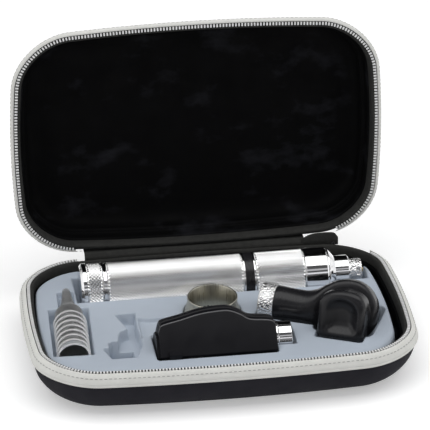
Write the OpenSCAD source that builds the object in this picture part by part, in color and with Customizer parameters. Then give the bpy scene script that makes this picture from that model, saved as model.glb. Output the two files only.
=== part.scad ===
// Otoscope carry case: a zipped, moulded clamshell with its diagnostic instruments in a fitted tray.
// Millimetres, +Z up. The origin is the middle of the flat underside, +X runs along the hinge
// and +Y goes to the hinge. The lid is drawn open, as it stands in use.

/* [Case] */
// Width of the zip line, side to side
case_w = 210; // [208:1:240]
// Depth of the zip line, front to back
case_d = 138; // [125:1:160]
// Height of the base up to its zip teeth
base_h = 28; // [26:0.5:34]
// Depth of the lid beyond its zip teeth
lid_h = 28; // [26:0.5:34]
// Radius of the case's corners
corner_r = 30; // [24:1:38]
// How far the short sides bow outward
side_bow = 4.6; // [0:0.2:7]
// How far the long sides bow outward
front_bow = 4.8; // [0:0.2:7]
// How far the back is pulled flat, so that the hinge line is free
hinge_relief = 1.6; // [1.4:0.1:2.4]
// Angle between the closed and the drawn lid
open_deg = 92.7; // [60:0.1:120]
// Wall of the moulded shells
shell_wall = 3; // [2:0.1:3.6]
// Width of the rounded edge under the base and on top of the lid
edge_run = 20; // [14:0.5:24]
// Thickness of the velour lining
lining_t = 0.8; // [0.6:0.1:1.2]

/* [Zip and hinge] */
// Height of the zip tape band
tape_h = 7.2; // [5:0.1:9]
// How far the tape band bulges beyond the zip line
tape_bulge = 4.3; // [3.6:0.1:5.5]
// Width of the row of zip teeth
teeth_w = 1.8; // [1.4:0.1:2.4]
// Height of one row of zip teeth
teeth_h = 1.1; // [0.8:0.1:1.5]
// Distance from the left end of the zip line to the cloth hinge
hinge_in_left = 37.5; // [32:0.5:50]
// Distance from the right end of the zip line to the cloth hinge
hinge_in_right = 42.5; // [40:0.5:55]
// Width of each leaf of the cloth hinge
hinge_leaf = 8; // [6:0.5:10]
// Thickness of the cloth hinge
hinge_t = 0.8; // [0.5:0.1:1]
// Parting gap between the two rows of teeth when closed
part_gap = 0.3; // [0.3:0.05:0.6]
// Length of the zip slider
slider_len = 11; // [9:0.5:14]
// Width of the zip slider
slider_w = 6.4; // [5:0.2:8]
// Length of the pull tab
pull_len = 18; // [14:0.5:24]

/* [Tray] */
// Top face of the tray, below the zip line
tray_drop = 3.6; // [3:0.1:5]
// Gap at the right between tray and zip line
tray_gap_right = 8.4; // [5:0.1:10]
// Gap at the left between tray and zip line
tray_gap_left = 4.1; // [4.1:0.1:6]
// Gap at the back between tray and zip line
tray_gap_back = 6.2; // [5:0.1:9]
// Depth of the pocket for spares
spare_depth = 7; // [4:0.5:8]
// Depth of the well in it
well_depth = 14; // [10:0.5:16]
// Width of the rolled front edge of the tray
tray_roll = 8; // [5:0.5:10]
// Free room between an instrument and its pocket
pocket_fit = 0.3; // [0.2:0.05:0.5]

/* [Handle] */
// Distance from the left end of the zip line to the handle's closed end
handle_in = 31.4; // [31:0.2:36]
// Distance of the handle's axis behind the middle
handle_y = 34.7; // [32:0.1:38]
// Height of the handle's axis over the tray's face
handle_rise = 0.6; // [0:0.1:3]
// Radius of the knurled battery tube
tube_r = 14.75; // [14:0.05:15.5]
// Radius of the battery space
bore_r = 13.3; // [12.8:0.05:13.5]
// Length of the polished rim of the end cap
cap_rim_len = 3.6; // [2.6:0.1:4.2]
// Length of the knurled part of the end cap
cap_len = 9.3; // [7:0.1:12]
// Length of the end cap's plug inside the tube
plug_len = 6; // [4:0.5:8]
// Length of the polished groove ring
groove_len = 2.1; // [1.5:0.1:3]
// Length of the battery, which sets the length of its tube
battery_len = 60; // [52:0.5:62]
// Radius of the battery
battery_r = 13; // [12.5:0.05:13]
// Room for the spring behind the battery
spring_room = 7.3; // [5.5:0.1:10]
// Length of the black insulating ring
insulator_len = 6.8; // [5:0.1:8]
// Length of the knurled brightness sleeve
sleeve_len = 29.1; // [24:0.1:32]
// Length of the smooth collar
collar_len = 13.2; // [11:0.1:16]
// Length of the bevel after the collar
bevel_len = 4.4; // [3:0.1:6]
// Length of the neck
neck_len = 8.6; // [7:0.1:11]
// Length of the bayonet tip
tip_len = 7.4; // [7:0.1:9]
// Radius of the neck
neck_r = 9.1; // [8:0.05:10]
// Radius of the bayonet tip
tip_r = 6.6; // [6:0.05:7]
// Depth of the bayonet tracks cut into the tip
track_depth = 0.9; // [0.6:0.05:1.1]
// Radius of the core that the brightness sleeve turns on
core_r = 11; // [10:0.05:11.5]
// Radius of the contact pin
pin_r = 1.6; // [1.2:0.05:2]
// Travel of the contact pin
pin_travel = 1.2; // [0.8:0.1:1.4]
// Radius of the lock button
button_r = 3; // [2.4:0.1:3.4]
// How far the lock button stands out
button_out = 0.7; // [0.5:0.1:0.9]

/* [Otoscope head] */
// Radius of the head's socket ring
socket_r = 11; // [10:0.1:12]
// Length of the socket ring
socket_len = 8.8; // [8:0.1:12]
// Radius of the lamps
lamp_r = 2.6; // [2:0.1:3]
// Length of the lamps
lamp_len = 13; // [10:0.5:15]
// Free room between the bayonet tip and a head's socket
socket_fit = 0.4; // [0.2:0.05:0.8]
// Distance from the socket's mouth to the middle of the viewing barrel
barrel_x = 50.4; // [47:0.2:54]
// Radius of the viewing barrel
barrel_r = 16.5; // [14:0.1:17.5]
// Upward tilt of the viewing axis
barrel_tilt = 15; // [5:1:20]
// Width of the eyepiece block
eye_w = 26.6; // [23:0.2:28]
// Height of the eyepiece block
eye_h = 28; // [24:0.2:29]
// Thickness of the eyepiece block
eye_t = 11; // [9:0.5:12]

/* [Ophthalmoscope head] */
// Length of the ophthalmoscope housing
oph_len = 65; // [58:0.5:68]
// Lean of its front panel from the tray's face
oph_lean = 50; // [42:1:56]
// Width of its front panel above the tray
oph_panel = 24.4; // [21:0.2:26]
// Thickness of the front cover
cover_t = 3; // [2:0.1:4]
// Radius of the lens wheel
wheel_r = 12; // [10.5:0.1:12.5]
// Thickness of the lens wheel
wheel_t = 3.4; // [2.6:0.1:4]
// Number of serrations round the lens wheel
wheel_teeth = 36; // [24:1:44]
// Radius of the socket post
post_r = 10; // [9:0.1:10.4]
// Length of the socket post
post_len = 9.6; // [8:0.1:12]

/* [Ring and specula] */
// Radius of the adapter ring's mouth
ring_r = 14.2; // [13:0.1:15]
// Radius of the adapter ring's foot
ring_foot_r = 16; // [15:0.1:16.2]
// Radius of the adapter ring's bore
ring_bore = 13; // [12:0.1:13.5]
// Height of the adapter ring
ring_h = 16; // [12:0.5:18]
// Length of one speculum
speculum_len = 36; // [32:0.5:38]
// Step from one nested speculum to the next
nest_step = 4.9; // [4.5:0.1:5.5]
// Wall of a speculum
speculum_wall = 0.42; // [0.3:0.02:0.44]
// Radius of a speculum's open end
speculum_r = 9; // [8.6:0.1:9.4]

/* [Hidden] */
$fn = 48;

// Clearances: beside soft pieces, of turning and sliding fits, between resting pieces
soft_gap = 0.3;
turn_fit = 0.05;
rest_gap = 0.2;
// Play of the cutters, and how far they reach up
cut = 1;
cut_up = 2 * base_h;
// Steps of the zip line at a corner and along a side
corner_steps = 7;
side_steps = 5;
hinge_y = case_d / 2;
hinge_z = base_h + part_gap / 2;
hinge_left = case_w / 2 - hinge_in_left;
hinge_right = case_w / 2 - hinge_in_right;
tray_top = base_h - tray_drop;

// Zip line: a rounded rectangle whose corners are pulled in, which bows its sides
function corner(sx, sy, w, d, r, from) = [
    for (i = [0 : corner_steps])
        let (a = from + 90 * i / corner_steps)
            [sx * (w / 2 - r) + r * cos(a), sy * (d / 2 - r) + r * sin(a)]
];
function between(p, q) = [for (i = [1 : side_steps - 1]) p + (q - p) * i / side_steps];
function plain_outline(w, d, r) =
    let (
        a = corner(1, 1, w, d, r, 0),
        b = corner(-1, 1, w, d, r, 90),
        c = corner(-1, -1, w, d, r, 180),
        e = corner(1, -1, w, d, r, 270),
        last = corner_steps
    )
        concat(a, between(a[last], b[0]), b, between(b[last], c[0]),
               c, between(c[last], e[0]), e, between(e[last], a[0]));
function bowed(p, w, d) =
    let (fx = p.x / (w / 2), fy = p.y / (d / 2))
        [p.x - side_bow * fx * fy * fy, p.y - front_bow * fy * fx * fx];
function relieved(p, grow) =
    let (fx = p.x / (case_w / 2), fy = p.y / (case_d / 2))
        p.y > 0 ? [p.x, p.y - (hinge_relief + max(grow, 0)) * max(1 - fx * fx, 0) * fy * fy] : p;
function zip_line(grow) =
    let (w = case_w + 2 * grow, d = case_d + 2 * grow)
        [for (p = plain_outline(w, d, corner_r + grow)) relieved(bowed(p, w, d), grow)];
function back_y(x, grow) =
    relieved(bowed([x, case_d / 2 + grow], case_w + 2 * grow, case_d + 2 * grow), grow).y;
function ring_at(grow, z) = [for (p = zip_line(grow)) [p.x, p.y, z]];

// Closed skin through rings of equal count; the end rings are capped unless it is a loop
function skin_faces(rings, n, loop) = concat(
    [for (i = [0 : (loop ? rings - 1 : rings - 2)]) for (j = [0 : n - 1])
        let (a = i * n + j, b = i * n + (j + 1) % n,
             c = ((i + 1) % rings) * n + (j + 1) % n, e = ((i + 1) % rings) * n + j)
            each [[a, b, c], [a, c, e]]],
    loop ? [] : [[for (j = [n - 1 : -1 : 0]) j], [for (j = [0 : n - 1]) (rings - 1) * n + j]]
);
module skin(rings, loop = false) {
    polyhedron(
        points = [for (ring = rings) each ring],
        faces = [for (f = skin_faces(len(rings), len(rings[0]), loop))
            [for (k = [len(f) - 1 : -1 : 0]) f[k]]],
        convexity = 6
    );
}

// Places the lid's pieces: mirrored from the base, then swung open
module on_lid() {
    translate([0, hinge_y, hinge_z])
        rotate([-open_deg, 0, 0])
            translate([0, -hinge_y, hinge_z])
                mirror([0, 0, 1])
                    children();
}

// Moulded shells: how far in from the zip line and how far up the rounded edge goes, as shares of its run
tape_low = base_h - tape_h;
tape_seat = tape_bulge - 1.3;
tape_ledge = 0.4;
seat_drop = 3;
shell_top = base_h - teeth_h - soft_gap;
shell_lip = 0.8;
outer_form = [[-0.85, 0], [-0.56, 0.05], [-0.32, 0.17], [-0.11, 0.37], [0.05, 0.62]];
inner_form = [[-0.56, 0], [-0.32, 0.06], [-0.2, 0.37], [-0.03, 0.62], [0.02, 0.85]];
function outer_line(h) = [for (p = outer_form) [p.x * edge_run, base_h - h + p.y * edge_run]];
// The floor follows the offset all the way, the wall only sideways
function inner_line(h, off) = [
    for (i = [0 : len(inner_form) - 1])
        let (p = inner_form[i] * edge_run, rise = i < 2 ? shell_wall + off : i == 2 ? off : 0)
            [p.x - shell_wall - off, base_h - h + p.y + rise]
];
function turned_round(list) = [for (i = [len(list) - 1 : -1 : 0]) list[i]];
function rings_along(line) = [for (p = line) ring_at(p.x, p.y)];
module shell(h) {
    inside = turned_round(inner_line(h, 0));
    skin(rings_along(concat(
        outer_line(h),
        [[tape_seat - tape_ledge, tape_low - seat_drop], [tape_seat, tape_low - tape_ledge],
         [tape_seat - 2 * tape_ledge, tape_low + tape_ledge / 2], [-shell_lip, shell_top],
         [inside[0].x, shell_top]],
        inside
    )));
}
module base_shell() {
    color([0.11, 0.11, 0.13]) shell(base_h);
}
module lid_shell() {
    color([0.11, 0.11, 0.13]) on_lid() shell(lid_h);
}

// Velour lining: a bowl just inside the shell, with a lip over its top edge
lip_t = 0.5;
module lining(h) {
    back = inner_line(h, soft_gap);
    face = turned_round(inner_line(h, soft_gap + lining_t));
    low = shell_top + soft_gap;
    top = low + lip_t;
    edge = -teeth_w - soft_gap;
    lip = [[back[len(back) - 1].x, low], [edge, low], [edge, top], [face[0].x, top]];
    skin(rings_along(concat(back, lip, face)));
}
module base_lining() {
    color([0.05, 0.05, 0.05]) lining(base_h);
}
module lid_lining() {
    color([0.05, 0.05, 0.05]) on_lid() lining(lid_h);
}

// Zip tape and teeth, left out along the cloth hinge and round the parked slider
slider_room = 6.5;
slider_zone = slider_len + slider_room;
module zip_gap() {
    translate([-hinge_left, case_d / 4, 0])
        cube([hinge_left + hinge_right + slider_zone, case_d / 2, 2 * base_h]);
}
tape_t = 0.8;
tape_top = base_h - 0.2;
module tape() {
    difference() {
        skin(rings_along([
            [tape_seat, tape_low], [tape_bulge - 0.5, tape_low], [tape_bulge, tape_low + 0.9],
            [tape_bulge - 0.7, tape_low + 3.4], [tape_bulge - 2.1, tape_low + 5.7],
            [soft_gap + tape_t, tape_top], [soft_gap, tape_top], [soft_gap, tape_top - 3 * tape_t],
            [tape_seat - 0.2, tape_low + tape_ledge]
        ]), loop = true);
        zip_gap();
    }
}
module teeth() {
    difference() {
        skin(rings_along([
            [-teeth_w, base_h - teeth_h], [0, base_h - teeth_h], [0, base_h], [-teeth_w, base_h]
        ]), loop = true);
        zip_gap();
    }
}
module base_zip_tape() {
    color([0.74, 0.74, 0.72]) tape();
}
module lid_zip_tape() {
    color([0.74, 0.74, 0.72]) on_lid() tape();
}
module base_zip_teeth() {
    color([0.92, 0.92, 0.9]) teeth();
}
module lid_zip_teeth() {
    color([0.92, 0.92, 0.9]) on_lid() teeth();
}

// Cloth hinge: a strip that follows the shell's back face
function behind(x) = max(back_y(x, 0), back_y(x, tape_seat));
function strip_side(from, to, y_of) = [for (i = [0 : 8]) let (x = from + (to - from) * i / 8) [x, y_of(x)]];
strip_gap = 0.5;
strip_from = strip_gap - hinge_left;
strip_to = hinge_right - strip_gap;
module hinge_strip() {
    inner = strip_side(strip_from, strip_to, function (x) behind(x) + soft_gap);
    outer = strip_side(strip_to, strip_from, function (x) behind(x) + soft_gap + hinge_t);
    translate([0, 0, base_h - hinge_leaf])
        linear_extrude(hinge_leaf - fold_low)
            polygon(concat(inner, outer));
}
// The fold that both leaves turn round, joined to the base's leaf by a narrow web
fold_low = 0.2;
fold_in = hinge_y - behind(0) - soft_gap - hinge_t;
fold_r = norm([fold_in, part_gap / 2 + fold_low]) - soft_gap;
module hinge_fold() {
    run = strip_to - strip_from;
    top = -part_gap / 2 - fold_low;
    web_in = [hinge_t * 0.625, hinge_t * 0.19];
    web_down = [hinge_t * 0.125, hinge_t * 0.75];
    translate([strip_from, hinge_y, hinge_z])
        rotate([90, 0, 90]) {
            cylinder(r = fold_r, h = run);
            linear_extrude(run)
                polygon([[-fold_r * 0.7, fold_r * 0.7], [-fold_in - web_in[0], top - web_down[0]],
                         [-fold_in - web_in[1], top - web_down[1]], [fold_r * 0.7, -fold_r * 0.7]]);
        }
}
module base_hinge_strip() {
    color([0.07, 0.07, 0.07]) {
        hinge_strip();
        hinge_fold();
    }
}
module lid_hinge_strip() {
    color([0.07, 0.07, 0.07]) on_lid() hinge_strip();
}

// Zip slider parked at the right end of the hinge, its pull tab and the end stop
slider_side = 1.2;
slider_x = hinge_right + slider_side + slider_zone / 2;
slider_y = behind(slider_x) + soft_gap;
slider_t = 2.2;
slider_z = base_h - slider_w - 2 * rest_gap;
bail_r = 0.8;
eye_wall = 1;
bail_out = bail_r + turn_fit + eye_wall + soft_gap;
ear_t = 1.2;
pull_t = 1;
module at_bail() {
    translate([slider_x, slider_y + slider_t + bail_out, slider_z + slider_w / 2])
        rotate([0, 90, 0])
            children();
}
module zip_slider() {
    color([0.55, 0.55, 0.57]) {
        translate([slider_x, slider_y, slider_z]) {
            difference() {
                translate([-slider_len / 2, 0, 0])
                    cube([slider_len, slider_t, slider_w]);
                translate([0, -cut, slider_w / 2])
                    rotate([-90, 0, 0])
                        cylinder(r = slider_w / 5, h = slider_t + 2 * cut);
            }
            for (side = [-1, 1])
                translate([side * slider_len / 4 - ear_t / 2, slider_t, slider_w / 2 - ear_t])
                    cube([ear_t, bail_out + bail_r + 0.2, 2 * ear_t]);
        }
        at_bail() translate([0, 0, -slider_len / 4]) cylinder(r = bail_r, h = slider_len / 2);
    }
}
module zip_pull() {
    eye_r = bail_r + turn_fit + eye_wall;
    wide = slider_len / 2 - ear_t - 2 * soft_gap;
    color([0.62, 0.62, 0.64])
        at_bail()
            difference() {
                union() {
                    translate([0, 0, -wide / 2]) cylinder(r = eye_r, h = wide);
                    translate([0, -pull_t / 2 + 0.3, -wide / 2]) cube([pull_len, pull_t, wide]);
                }
                translate([0, 0, -slider_len]) cylinder(r = bail_r + turn_fit, h = 2 * slider_len);
            }
}
module zip_end_stop() {
    stop_len = 2.4;
    sink = 0.1;
    x = hinge_right + slider_zone - stop_len - 2 * rest_gap;
    color([0.7, 0.7, 0.72])
        translate([x, back_y(x + stop_len, 0) - teeth_w + sink, base_h - teeth_h])
            cube([stop_len, teeth_w, teeth_h]);
}

// Handle: all its pieces are turned about one axis along the case
knurl_h = 0.15;
edge_in = 0.2;
tube_end_wall = 3;
contact_r = 2.5;
battery_nub = 1.6;
nub_r = 3.2;
web_t = 2;
tube_len = plug_len + spring_room + battery_len + battery_nub + rest_gap + tube_end_wall;
handle_x = -case_w / 2 + handle_in;
handle_z = tray_top + handle_rise;
cap_x = handle_x + cap_rim_len;
groove_x = cap_x + cap_len;
tube_x = groove_x + groove_len;
insulator_x = tube_x + tube_len;
sleeve_x = insulator_x + insulator_len;
collar_x = sleeve_x + sleeve_len;
bevel_x = collar_x + collar_len;
neck_x = bevel_x + bevel_len;
tip_x = neck_x + neck_len;
tip_end = tip_x + tip_len;
battery_end = insulator_x - tube_end_wall - rest_gap;
battery_start = battery_end - battery_nub - battery_len;
module along_x(x) {
    translate([x, handle_y, handle_z])
        rotate([0, 90, 0])
            children();
}
module turned(profile) {
    rotate_extrude() polygon(profile);
}
module battery_tube() {
    color([0.8, 0.8, 0.8])
        along_x(tube_x)
            difference() {
                turned([[0, 0], [tube_r - edge_in, 0], [tube_r, edge_in], [tube_r, tube_len - edge_in],
                        [tube_r - edge_in, tube_len], [0, tube_len]]);
                translate([0, 0, -cut]) cylinder(r = bore_r, h = tube_len - tube_end_wall + cut);
                cylinder(r = contact_r, h = tube_len + cut);
            }
}
module groove_ring() {
    groove = 0.7;
    color([0.86, 0.86, 0.87])
        along_x(groove_x)
            turned([[bore_r, 0], [tube_r - edge_in, 0], [tube_r - edge_in, groove_len * 0.2],
                    [tube_r - groove, groove_len * 0.35], [tube_r - groove, groove_len * 0.65],
                    [tube_r - edge_in, groove_len * 0.8], [tube_r - edge_in, groove_len],
                    [bore_r, groove_len]]);
}
module end_cap() {
    body = cap_len - rest_gap;
    plug_r = bore_r - turn_fit;
    plug_end = cap_len + groove_len + plug_len;
    bevel = 1;
    color([0.8, 0.8, 0.8])
        along_x(cap_x)
            turned([[0, 0], [tube_r, 0], [tube_r + knurl_h, edge_in], [tube_r + knurl_h, body - 2 * edge_in],
                    [tube_r - edge_in, body], [plug_r, body], [plug_r, plug_end - bevel],
                    [plug_r - bevel, plug_end], [0, plug_end]]);
}
module end_cap_rim() {
    dish = 0.8;
    color([0.86, 0.86, 0.87])
        along_x(handle_x)
            turned([[0, dish], [tube_r * 0.6, dish], [tube_r * 0.66, 0], [tube_r * 0.9, 0],
                    [tube_r - dish, cap_rim_len * 0.12], [tube_r - edge_in, cap_rim_len * 0.42],
                    [tube_r - edge_in, cap_rim_len], [0, cap_rim_len]]);
}
module battery() {
    color([0.3, 0.32, 0.34])
        along_x(battery_start)
            turned([[0, 0], [battery_r - edge_in, 0], [battery_r, edge_in],
                    [battery_r, battery_len - edge_in], [battery_r - edge_in, battery_len],
                    [nub_r, battery_len], [nub_r, battery_len + battery_nub],
                    [0, battery_len + battery_nub]]);
}
spring_wire = 0.5;
spring_turns = 4;
spring_from = tube_x + plug_len + rest_gap / 2;
spring_to = battery_start - rest_gap / 2;
spring_r = battery_r * 0.73;
module battery_spring() {
    sides = 6;
    steps = 14 * spring_turns;
    span = spring_to - spring_from - 2 * spring_wire;
    color([0.75, 0.75, 0.76])
        along_x(spring_from + spring_wire)
            skin([for (i = [0 : steps])
                let (a = 360 * spring_turns * i / steps, z = span * i / steps)
                    [for (j = [0 : sides - 1])
                        let (b = 360 * j / sides, r = spring_r + spring_wire * cos(b))
                            [r * cos(a), r * sin(a), z + spring_wire * sin(b)]]]);
}
module insulator_ring() {
    rim_r = tube_r - edge_in / 2;
    band_r = tube_r - 0.5;
    color([0.08, 0.08, 0.09])
        along_x(insulator_x)
            difference() {
                turned([[0, 0], [rim_r, 0], [rim_r, insulator_len * 0.1], [band_r, insulator_len * 0.15],
                        [band_r, insulator_len * 0.85], [rim_r, insulator_len * 0.9],
                        [rim_r, insulator_len], [0, insulator_len]]);
                translate([0, 0, web_t]) cylinder(r = core_r + turn_fit, h = insulator_len);
                translate([0, 0, -cut]) cylinder(r = contact_r, h = insulator_len);
            }
}
button_turn = 30;
button_at = 8;
button_foot = core_r + button_out + 2 * rest_gap;
module at_button() {
    translate([sleeve_x + button_at, handle_y, handle_z])
        rotate([button_turn - 90, 0, 0])
            children();
}
module brightness_sleeve() {
    run = sleeve_len - 2 * rest_gap;
    color([0.8, 0.8, 0.8])
        difference() {
            along_x(sleeve_x + rest_gap)
                turned([[core_r + turn_fit, 0], [tube_r - edge_in, 0], [tube_r + knurl_h, 2 * edge_in],
                        [tube_r + knurl_h, run - 2 * edge_in], [tube_r - edge_in, run],
                        [core_r + turn_fit, run]]);
            at_button() cylinder(r = button_r + turn_fit, h = 2 * tube_r);
        }
}
module lock_button() {
    color([0.15, 0.45, 0.25])
        at_button()
            translate([0, 0, button_foot])
                cylinder(r = button_r, h = tube_r + knurl_h + button_out - button_foot);
}
module top_collar() {
    color([0.88, 0.88, 0.9])
        along_x(collar_x)
            turned([[core_r + turn_fit, 0], [tube_r - 3 * edge_in, 0], [tube_r - edge_in, 2 * edge_in],
                    [tube_r - edge_in, collar_len - 3 * edge_in], [tube_r - 4 * edge_in, collar_len],
                    [core_r + turn_fit, collar_len]]);
}
pin_hold = 6;
track_w = 2;
track_len = 3.2;
track_turn = 20;
// One L-shaped track: in from the end, then round to where a lug locks
module bayonet_track() {
    translate([tip_r - track_depth, -track_w / 2, 0])
        cube([2 * track_depth, track_w, 2 * track_len]);
    rotate([0, 0, track_turn])
        translate([tip_r - track_depth, -track_w / 2, 0])
            cube([2 * track_depth, track_w, track_w]);
}
module bayonet_neck() {
    core_from = insulator_x + web_t;
    pin_room = pin_hold + pin_travel + 4 * rest_gap;
    step = 0.7;
    color([0.86, 0.86, 0.88])
        difference() {
            union() {
                along_x(core_from) cylinder(r = core_r, h = bevel_x - core_from);
                along_x(bevel_x)
                    turned([[0, 0], [tube_r * 0.95, 0], [tube_r * 0.93, bevel_len / 5],
                            [neck_r + step, bevel_len], [0, bevel_len]]);
                along_x(neck_x)
                    turned([[0, 0], [neck_r, 0], [neck_r, neck_len - step], [neck_r - step, neck_len],
                            [0, neck_len]]);
                along_x(tip_x) cylinder(r = tip_r, h = tip_len);
            }
            along_x(tip_end - pin_room) cylinder(r = pin_r + turn_fit, h = pin_room + cut);
            for (a = [0, 120, 240])
                along_x(tip_end - track_len)
                    rotate([0, 0, a])
                        bayonet_track();
        }
}
module contact_pin() {
    pin_len = pin_hold + pin_travel + rest_gap;
    nose = pin_r * 0.3;
    color([0.78, 0.66, 0.36])
        along_x(tip_end - pin_hold)
            turned([[0, 0], [pin_r, 0], [pin_r, pin_len - nose], [pin_r - nose, pin_len], [0, pin_len]]);
}

// Otoscope head, lying in the tray with its viewing end to the front
oto_x = case_w / 2 - 79.2;
oto_y = 0;
oto_rise = 4.1;
oto_yaw = 25;
barrel_rise = 2.5;
focus_from = 4.2;
focus_t = 3.8;
eye_from = focus_from + focus_t + rest_gap;
core_barrel_r = 12;
focus_r = 13.8;
barrel_back = 17;
nose_r = 8.4;
nose_len = 11;
port_r = 2.4;
port_seat = 0.6;
port_back = 9;
port_len = 2.4;
// Room that the tilted barrel, nose and eyepiece take up round the barrel's middle
tilt_room = 1.8;
eye_reach = 24;
eye_down = 7.8;
nose_reach = 29.5;
nose_down = 14;
port_room = 4;
port_down = 19.6;
// Sockets: as deep as the tip is long with its pin, so that the pin meets the lamp's foot
socket_bore = tip_r + socket_fit;
socket_deep = tip_len + pin_travel + rest_gap;
module oto() {
    translate([oto_x, oto_y, tray_top + oto_rise])
        rotate([0, 0, -oto_yaw])
            children();
}
module oto_barrel_axis() {
    oto()
        translate([barrel_x, 0, barrel_rise])
            rotate([90 - barrel_tilt, 0, 0])
                children();
}
module oto_socket_ring() {
    edge = 0.5;
    color([0.84, 0.84, 0.85])
        oto()
            difference() {
                rotate([0, 90, 0])
                    turned([[socket_bore, 0], [socket_r - edge, 0], [socket_r, edge],
                            [socket_r, socket_len - edge], [socket_r - edge, socket_len],
                            [socket_bore, socket_len]]);
                translate([socket_len * 0.32, 0, 0])
                    rotate([110, 0, 0])
                        cylinder(r = socket_len * 0.12, h = 2 * socket_r);
            }
}
// The neck: two tapered lengths, with a plug that closes the socket and holds the lamp
module oto_neck() {
    waist = 17;
    waist_r = 10;
    waist_at = [socket_len + waist, -0.6, 0.4];
    slice = 1;
    color([0.09, 0.09, 0.1])
        difference() {
            oto() {
                hull() {
                    translate([socket_len, 0, 0])
                        rotate([0, 90, 0]) cylinder(r = socket_r * 0.9, h = 1.6, $fn = 32);
                    translate(waist_at) rotate([0, 90, 0]) cylinder(r = waist_r, h = slice, $fn = 32);
                }
                hull() {
                    translate(waist_at) rotate([0, 90, 0]) cylinder(r = waist_r, h = slice, $fn = 32);
                    translate([barrel_x - barrel_r * 0.86, -1, barrel_rise])
                        rotate([90 - barrel_tilt, 0, 0])
                            translate([0, 0, -waist_r])
                                cylinder(r = barrel_r * 0.64, h = barrel_r, $fn = 32);
                }
                translate([socket_deep, 0, 0])
                    rotate([0, 90, 0]) cylinder(r = socket_bore - turn_fit, h = waist);
            }
            oto()
                rotate([0, 90, 0]) {
                    cylinder(r = socket_bore, h = socket_deep);
                    cylinder(r = lamp_r + turn_fit, h = socket_deep + lamp_len + rest_gap);
                }
            oto_barrel_axis() {
                translate([0, 0, focus_from - rest_gap]) cylinder(r = focus_r + rest_gap, h = 2 * barrel_r);
                translate([0, 0, eye_from - rest_gap]) cylinder(r = barrel_r, h = 2 * barrel_r);
            }
        }
}
// A lamp: foot, sleeve and domed glass
module lamp() {
    turned([[0, 0], [lamp_r, 0], [lamp_r, lamp_len * 0.62], [lamp_r * 0.72, lamp_len * 0.7],
            [lamp_r * 0.72, lamp_len * 0.86], [lamp_r * 0.45, lamp_len * 0.97], [0, lamp_len]]);
}
module oto_lamp() {
    color([0.86, 0.85, 0.78])
        oto() translate([socket_deep, 0, 0]) rotate([0, 90, 0]) lamp();
}
module oto_barrel() {
    color([0.1, 0.1, 0.11])
        difference() {
            oto_barrel_axis()
                turned([[0, -barrel_back], [barrel_r * 0.57, -barrel_back],
                        [barrel_r * 0.81, -barrel_back * 0.9], [barrel_r * 0.945, -barrel_back * 0.73],
                        [barrel_r, -barrel_back * 0.47],
                        [barrel_r, barrel_r * 0.1], [barrel_r * 0.945, barrel_r * 0.2],
                        [barrel_r * 0.87, focus_from - rest_gap], [core_barrel_r, focus_from - rest_gap],
                        [core_barrel_r, eye_from], [0, eye_from]]);
            oto_neck();
            at_port() cylinder(r = port_r + turn_fit, h = barrel_r);
        }
}
module oto_focus_ring() {
    color([0.13, 0.13, 0.14])
        oto_barrel_axis()
            translate([0, 0, focus_from])
                turned([[core_barrel_r + turn_fit, 0], [focus_r - edge_in, 0], [focus_r, edge_in],
                        [focus_r, focus_t - edge_in], [focus_r - edge_in, focus_t],
                        [core_barrel_r + turn_fit, focus_t]]);
}
dish_r = 15;
dish_sink = 4.5;
window_r = 6.6;
window_t = 2.4;
window_sink = 2;
module oto_eyepiece() {
    corner = 8;
    bevel = 2.4;
    half = [eye_w / 2 - corner, eye_h / 2 - corner];
    color([0.12, 0.12, 0.13])
        oto_barrel_axis()
            translate([0, 0, eye_from])
                difference() {
                    hull() {
                        for (sx = [-1, 1]) for (sy = [-1, 1]) {
                            translate([sx * half.x, sy * half.y, 0])
                                cylinder(r = corner, h = eye_t - bevel, $fn = 32);
                            translate([sx * half.x, sy * half.y, 0])
                                cylinder(r = corner - bevel, h = eye_t, $fn = 32);
                        }
                    }
                    translate([0, 0, eye_t + dish_r - dish_sink]) sphere(r = dish_r);
                    translate([0, 0, window_sink]) cylinder(r = window_r + turn_fit, h = eye_t);
                }
}
module oto_window() {
    color([0.3, 0.35, 0.38, 0.6])
        oto_barrel_axis()
            translate([0, 0, eye_from + window_sink])
                turned([[0, 0], [window_r, 0], [window_r, window_t * 0.5], [window_r * 0.6, window_t * 0.88],
                        [0, window_t]]);
}
module oto_nose_cone() {
    color([0.14, 0.14, 0.15])
        oto_barrel_axis()
            mirror([0, 0, 1])
                translate([0, 0, barrel_back])
                    difference() {
                        turned([[0, 0], [nose_r, 0], [nose_r, nose_len * 0.24],
                                [nose_r * 0.74, nose_len * 0.4], [nose_r * 0.52, nose_len * 0.94],
                                [nose_r * 0.43, nose_len], [0, nose_len]]);
                        translate([0, 0, nose_len * 0.27]) cylinder(r = nose_r * 0.31, h = nose_len);
                    }
}
module at_port() {
    oto_barrel_axis()
        translate([0, -barrel_r + port_seat, -port_back])
            rotate([90, 0, 0])
                children();
}
module oto_air_port() {
    color([0.7, 0.7, 0.72])
        at_port()
            difference() {
                turned([[0, 0], [port_r, 0], [port_r, port_seat + port_len / 3],
                        [port_r * 0.7, port_seat + port_len * 0.4],
                        [port_r * 0.8, port_seat + port_len], [port_r * 0.62, port_seat + port_len * 1.25],
                        [0, port_seat + port_len * 1.25]]);
                translate([0, 0, port_seat + port_len / 4]) cylinder(r = port_r / 3, h = 2 * port_len);
            }
}

// Ophthalmoscope head, lying on its side with the front panel leaning to the front
oph_x = -38;
oph_y = -50;
oph_sink = 16;
oph_depth = 31;
post_y = 16.8;
post_z = -1.8;
module oph_upright() {
    translate([oph_x, oph_y, tray_top]) children();
}
module oph() {
    oph_upright() rotate([oph_lean, 0, 0]) children();
}
function leaned(y, z) = [y * cos(oph_lean) + z * sin(oph_lean), z * cos(oph_lean) - y * sin(oph_lean)];
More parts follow.
